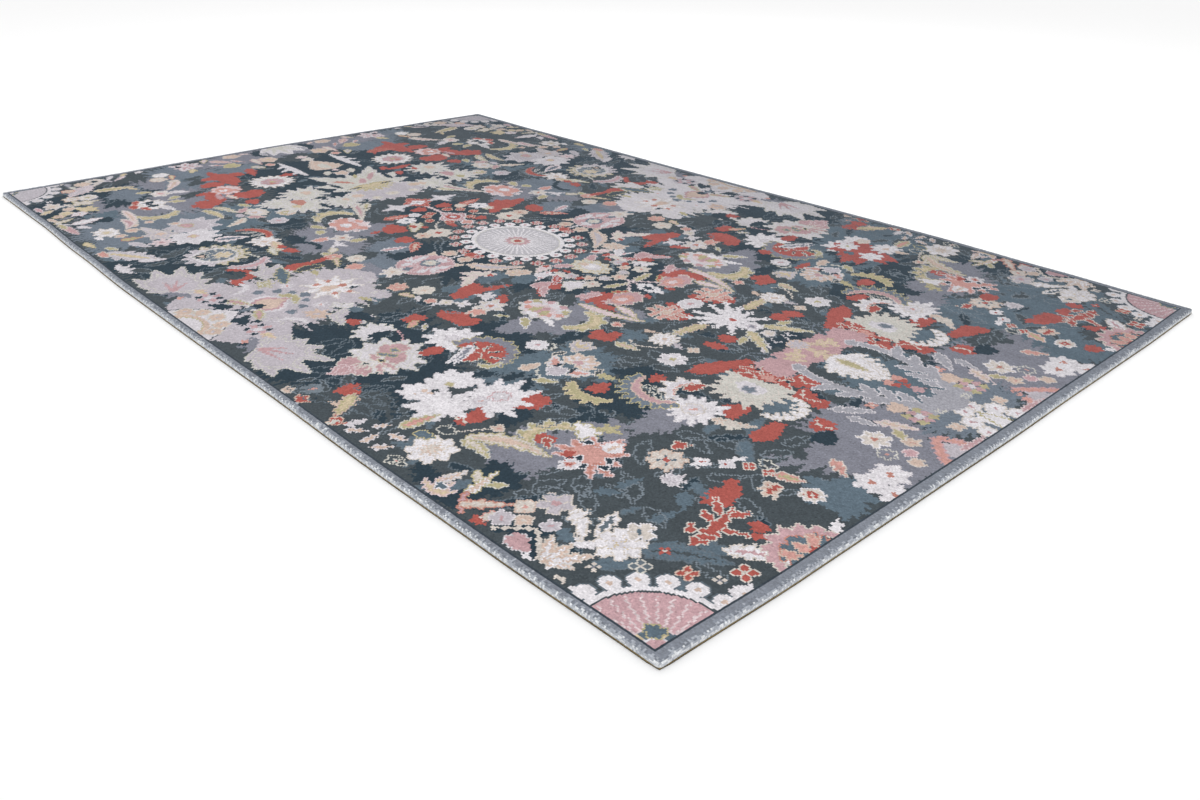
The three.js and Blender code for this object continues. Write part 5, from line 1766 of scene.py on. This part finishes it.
def pileMaterial():
    material, nodes, links, shader = newMaterial("knottedPile", 0.95)
    shader.inputs["Specular IOR Level"].default_value = 0.15
    colour = nodes.new("ShaderNodeAttribute")
    colour.attribute_name = "knotColour"
    place = nodes.new("ShaderNodeTexCoord")
    fibre = nodes.new("ShaderNodeTexNoise")
    fibre.inputs["Scale"].default_value = pile["fibreScale"]
    fibre.inputs["Detail"].default_value = 2
    links.new(place.outputs["Object"], fibre.inputs["Vector"])
    shade = nodes.new("ShaderNodeMapRange")
    shade.inputs["From Min"].default_value = 0.3
    shade.inputs["From Max"].default_value = 0.7
    shade.inputs["To Min"].default_value, shade.inputs["To Max"].default_value = pile["fibreShade"]
    links.new(fibre.outputs["Fac"], shade.inputs["Value"])
    mixed = nodes.new("ShaderNodeVectorMath")
    mixed.operation = "MULTIPLY"
    links.new(colour.outputs["Color"], mixed.inputs[0])
    links.new(shade.outputs["Result"], mixed.inputs[1])
    links.new(mixed.outputs["Vector"], shader.inputs["Base Color"])
    bump = nodes.new("ShaderNodeBump")
    bump.inputs["Strength"].default_value, bump.inputs["Distance"].default_value = pile["fibreBump"]
    links.new(fibre.outputs["Fac"], bump.inputs["Height"])
    links.new(bump.outputs["Normal"], shader.inputs["Normal"])
    return material


backing = {
    "grid": (120, 78),
    "thickness": 0.0022,
    "standsOut": 0.12,       # centimetres past the pile's side, where its cut edge shows
    "thread": (150, 131, 92),
    "gap": (92, 80, 56),
    "cut": (52, 50, 46),     # painted shadow on the dark lower part of its cut edge, where it meets the floor
    "cutShare": 0.62,        # and how much of the edge's height the painted shadow covers
    "threadPitch": 0.0042,
    "threadBump": (0.6, 0.0008),  # strength and distance
}


# Crossing threads with darker gaps, and painted shadow on the lower part of the cut edge
def backingMaterial():
    material, nodes, links, shader = newMaterial("backingWeave", 0.9)
    shader.inputs["Specular IOR Level"].default_value = 0.15
    place = nodes.new("ShaderNodeTexCoord")
    threads = []
    for way in ("X", "Y"):
        wave = nodes.new("ShaderNodeTexWave")
        wave.bands_direction = way
        wave.inputs["Scale"].default_value = 0.314 / backing["threadPitch"]  # 0.314 m a wave at scale 1
        wave.inputs["Distortion"].default_value = 0.6
        links.new(place.outputs["Object"], wave.inputs["Vector"])
        threads.append(wave)
    weave = nodes.new("ShaderNodeMath")
    weave.operation = "MAXIMUM"
    links.new(threads[0].outputs["Fac"], weave.inputs[0])
    links.new(threads[1].outputs["Fac"], weave.inputs[1])
    cloth = nodes.new("ShaderNodeMix")
    cloth.data_type = "RGBA"
    cloth.inputs["A"].default_value = (*toLinear(backing["gap"]), 1)
    cloth.inputs["B"].default_value = (*toLinear(backing["thread"]), 1)
    links.new(weave.outputs["Value"], cloth.inputs["Factor"])
    apart = nodes.new("ShaderNodeSeparateXYZ")
    links.new(place.outputs["Object"], apart.inputs["Vector"])
    facing = nodes.new("ShaderNodeNewGeometry")
    faceApart = nodes.new("ShaderNodeSeparateXYZ")
    links.new(facing.outputs["True Normal"], faceApart.inputs["Vector"])
    # Painted shadow: upright faces low on the cut edge take the dark shadow colour
    upright = nodes.new("ShaderNodeMath")
    upright.operation = "COMPARE"
    upright.inputs[1].default_value = 0
    upright.inputs[2].default_value = 0.5
    links.new(faceApart.outputs["Z"], upright.inputs[0])
    low = nodes.new("ShaderNodeMath")
    low.operation = "LESS_THAN"
    low.inputs[1].default_value = backing["thickness"] * backing["cutShare"]
    links.new(apart.outputs["Z"], low.inputs[0])
    cut = nodes.new("ShaderNodeMath")
    cut.operation = "MULTIPLY"
    links.new(upright.outputs["Value"], cut.inputs[0])
    links.new(low.outputs["Value"], cut.inputs[1])
    shadowed = nodes.new("ShaderNodeMix")
    shadowed.data_type = "RGBA"
    shadowed.inputs["B"].default_value = (*toLinear(backing["cut"]), 1)
    links.new(cloth.outputs["Result"], shadowed.inputs["A"])
    links.new(cut.outputs["Value"], shadowed.inputs["Factor"])
    links.new(shadowed.outputs["Result"], shader.inputs["Base Color"])
    bump = nodes.new("ShaderNodeBump")
    bump.inputs["Strength"].default_value, bump.inputs["Distance"].default_value = backing["threadBump"]
    links.new(weave.outputs["Value"], bump.inputs["Height"])
    links.new(bump.outputs["Normal"], shader.inputs["Normal"])
    return material


# The woven cloth under the pile, a little past it at the sides
def backingCloth():
    columns, rows = backing["grid"]
    bpy.ops.object.select_all(action="DESELECT")
    bpy.ops.mesh.primitive_grid_add(x_subdivisions=columns, y_subdivisions=rows, size=1)
    cloth = bpy.context.object
    cloth.name = "backingCloth"
    mesh = cloth.data
    under = len(mesh.vertices)
    place = np.empty(under * 3, np.float32)
    mesh.vertices.foreach_get("co", place)
    place = place.reshape(-1, 3)
    x, y = onRug(place[:, 0] + 0.5, place[:, 1] + 0.5)
    place[:, 0] = x / 100 * (1 + 2 * backing["standsOut"] / rug["length"])
    place[:, 1] = y / 100 * (1 + 2 * backing["standsOut"] / rug["width"])
    place[:, 2] = 0
    mesh.vertices.foreach_set("co", place.ravel())
    mesh.update()
    bpy.ops.object.mode_set(mode="EDIT")
    bpy.ops.mesh.select_mode(type="EDGE")
    bpy.ops.mesh.select_all(action="DESELECT")
    bpy.ops.mesh.select_non_manifold()
    bpy.ops.mesh.extrude_edges_move(TRANSFORM_OT_translate={"value": (0, 0, backing["thickness"])})
    bpy.ops.mesh.edge_face_add()
    bpy.ops.mesh.select_all(action="SELECT")
    bpy.ops.mesh.normals_make_consistent(inside=False)
    bpy.ops.object.mode_set(mode="OBJECT")
    bpy.ops.object.shade_smooth_by_angle(angle=math.radians(30))
    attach(cloth, "root")
    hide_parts("backing_cloth")
    return cloth


pileFinish = pileMaterial()
stripRows = np.rint(np.linspace(0, rug["knotsAcross"], len(pile["strips"]) + 1)).astype(int)
for name, firstRow, lastRow in zip(pile["strips"], stripRows[:-1], stripRows[1:]):
    strip = pileStrip(name, int(firstRow), int(lastRow))
    strip.data.materials.append(pileFinish)
print("pile: five strips")

cloth = backingCloth()
cloth.data.materials.append(backingMaterial())
print("backing: one cloth")

floor = {"size": 30.0, "colour": (0.96, 0.96, 0.96)}
light = {
    "sky": 0.98,
    "softbox": 45.0,
    "softboxSize": 4.0,
    "softboxPlace": (-1.5, 2.0, 3.2),
}
camera = {
    "place": (2.08955, -1.65357, 0.91306),
    "turn": (62.5767, -0.6038, 47.0611),
    "lens": 30.74,
    "sensor": 36.0,
}

bpy.ops.object.select_all(action="DESELECT")
bpy.ops.mesh.primitive_plane_add(size=floor["size"])
ground = bpy.context.object
ground.name = "floor"
floorFinish, nodes, links, shader = newMaterial("paleFloor", 0.9)
shader.inputs["Base Color"].default_value = (*floor["colour"], 1)
ground.data.materials.append(floorFinish)

world = bpy.data.worlds.new("softSky")
bpy.context.scene.world = world
world.use_nodes = True
world.node_tree.nodes["Background"].inputs["Color"].default_value = (1, 1, 1, 1)
world.node_tree.nodes["Background"].inputs["Strength"].default_value = light["sky"]
bpy.ops.object.light_add(type="AREA", location=light["softboxPlace"])
softbox = bpy.context.object
softbox.name = "softbox"
softbox.data.energy = light["softbox"]
softbox.data.size = light["softboxSize"]
aim = -np.array(light["softboxPlace"])
tilt = math.atan2(math.hypot(aim[0], aim[1]), -aim[2])
softbox.rotation_euler = (tilt, 0, math.atan2(aim[1], aim[0]) - math.pi / 2)

bpy.ops.object.camera_add(location=camera["place"])
eye = bpy.context.object
eye.name = "camera"
eye.rotation_euler = [math.radians(angle) for angle in camera["turn"]]
eye.data.lens = camera["lens"]
eye.data.sensor_width = camera["sensor"]
bpy.context.scene.camera = eye
bpy.context.scene.view_settings.view_transform = "Standard"
print("stage: floor, light and camera")
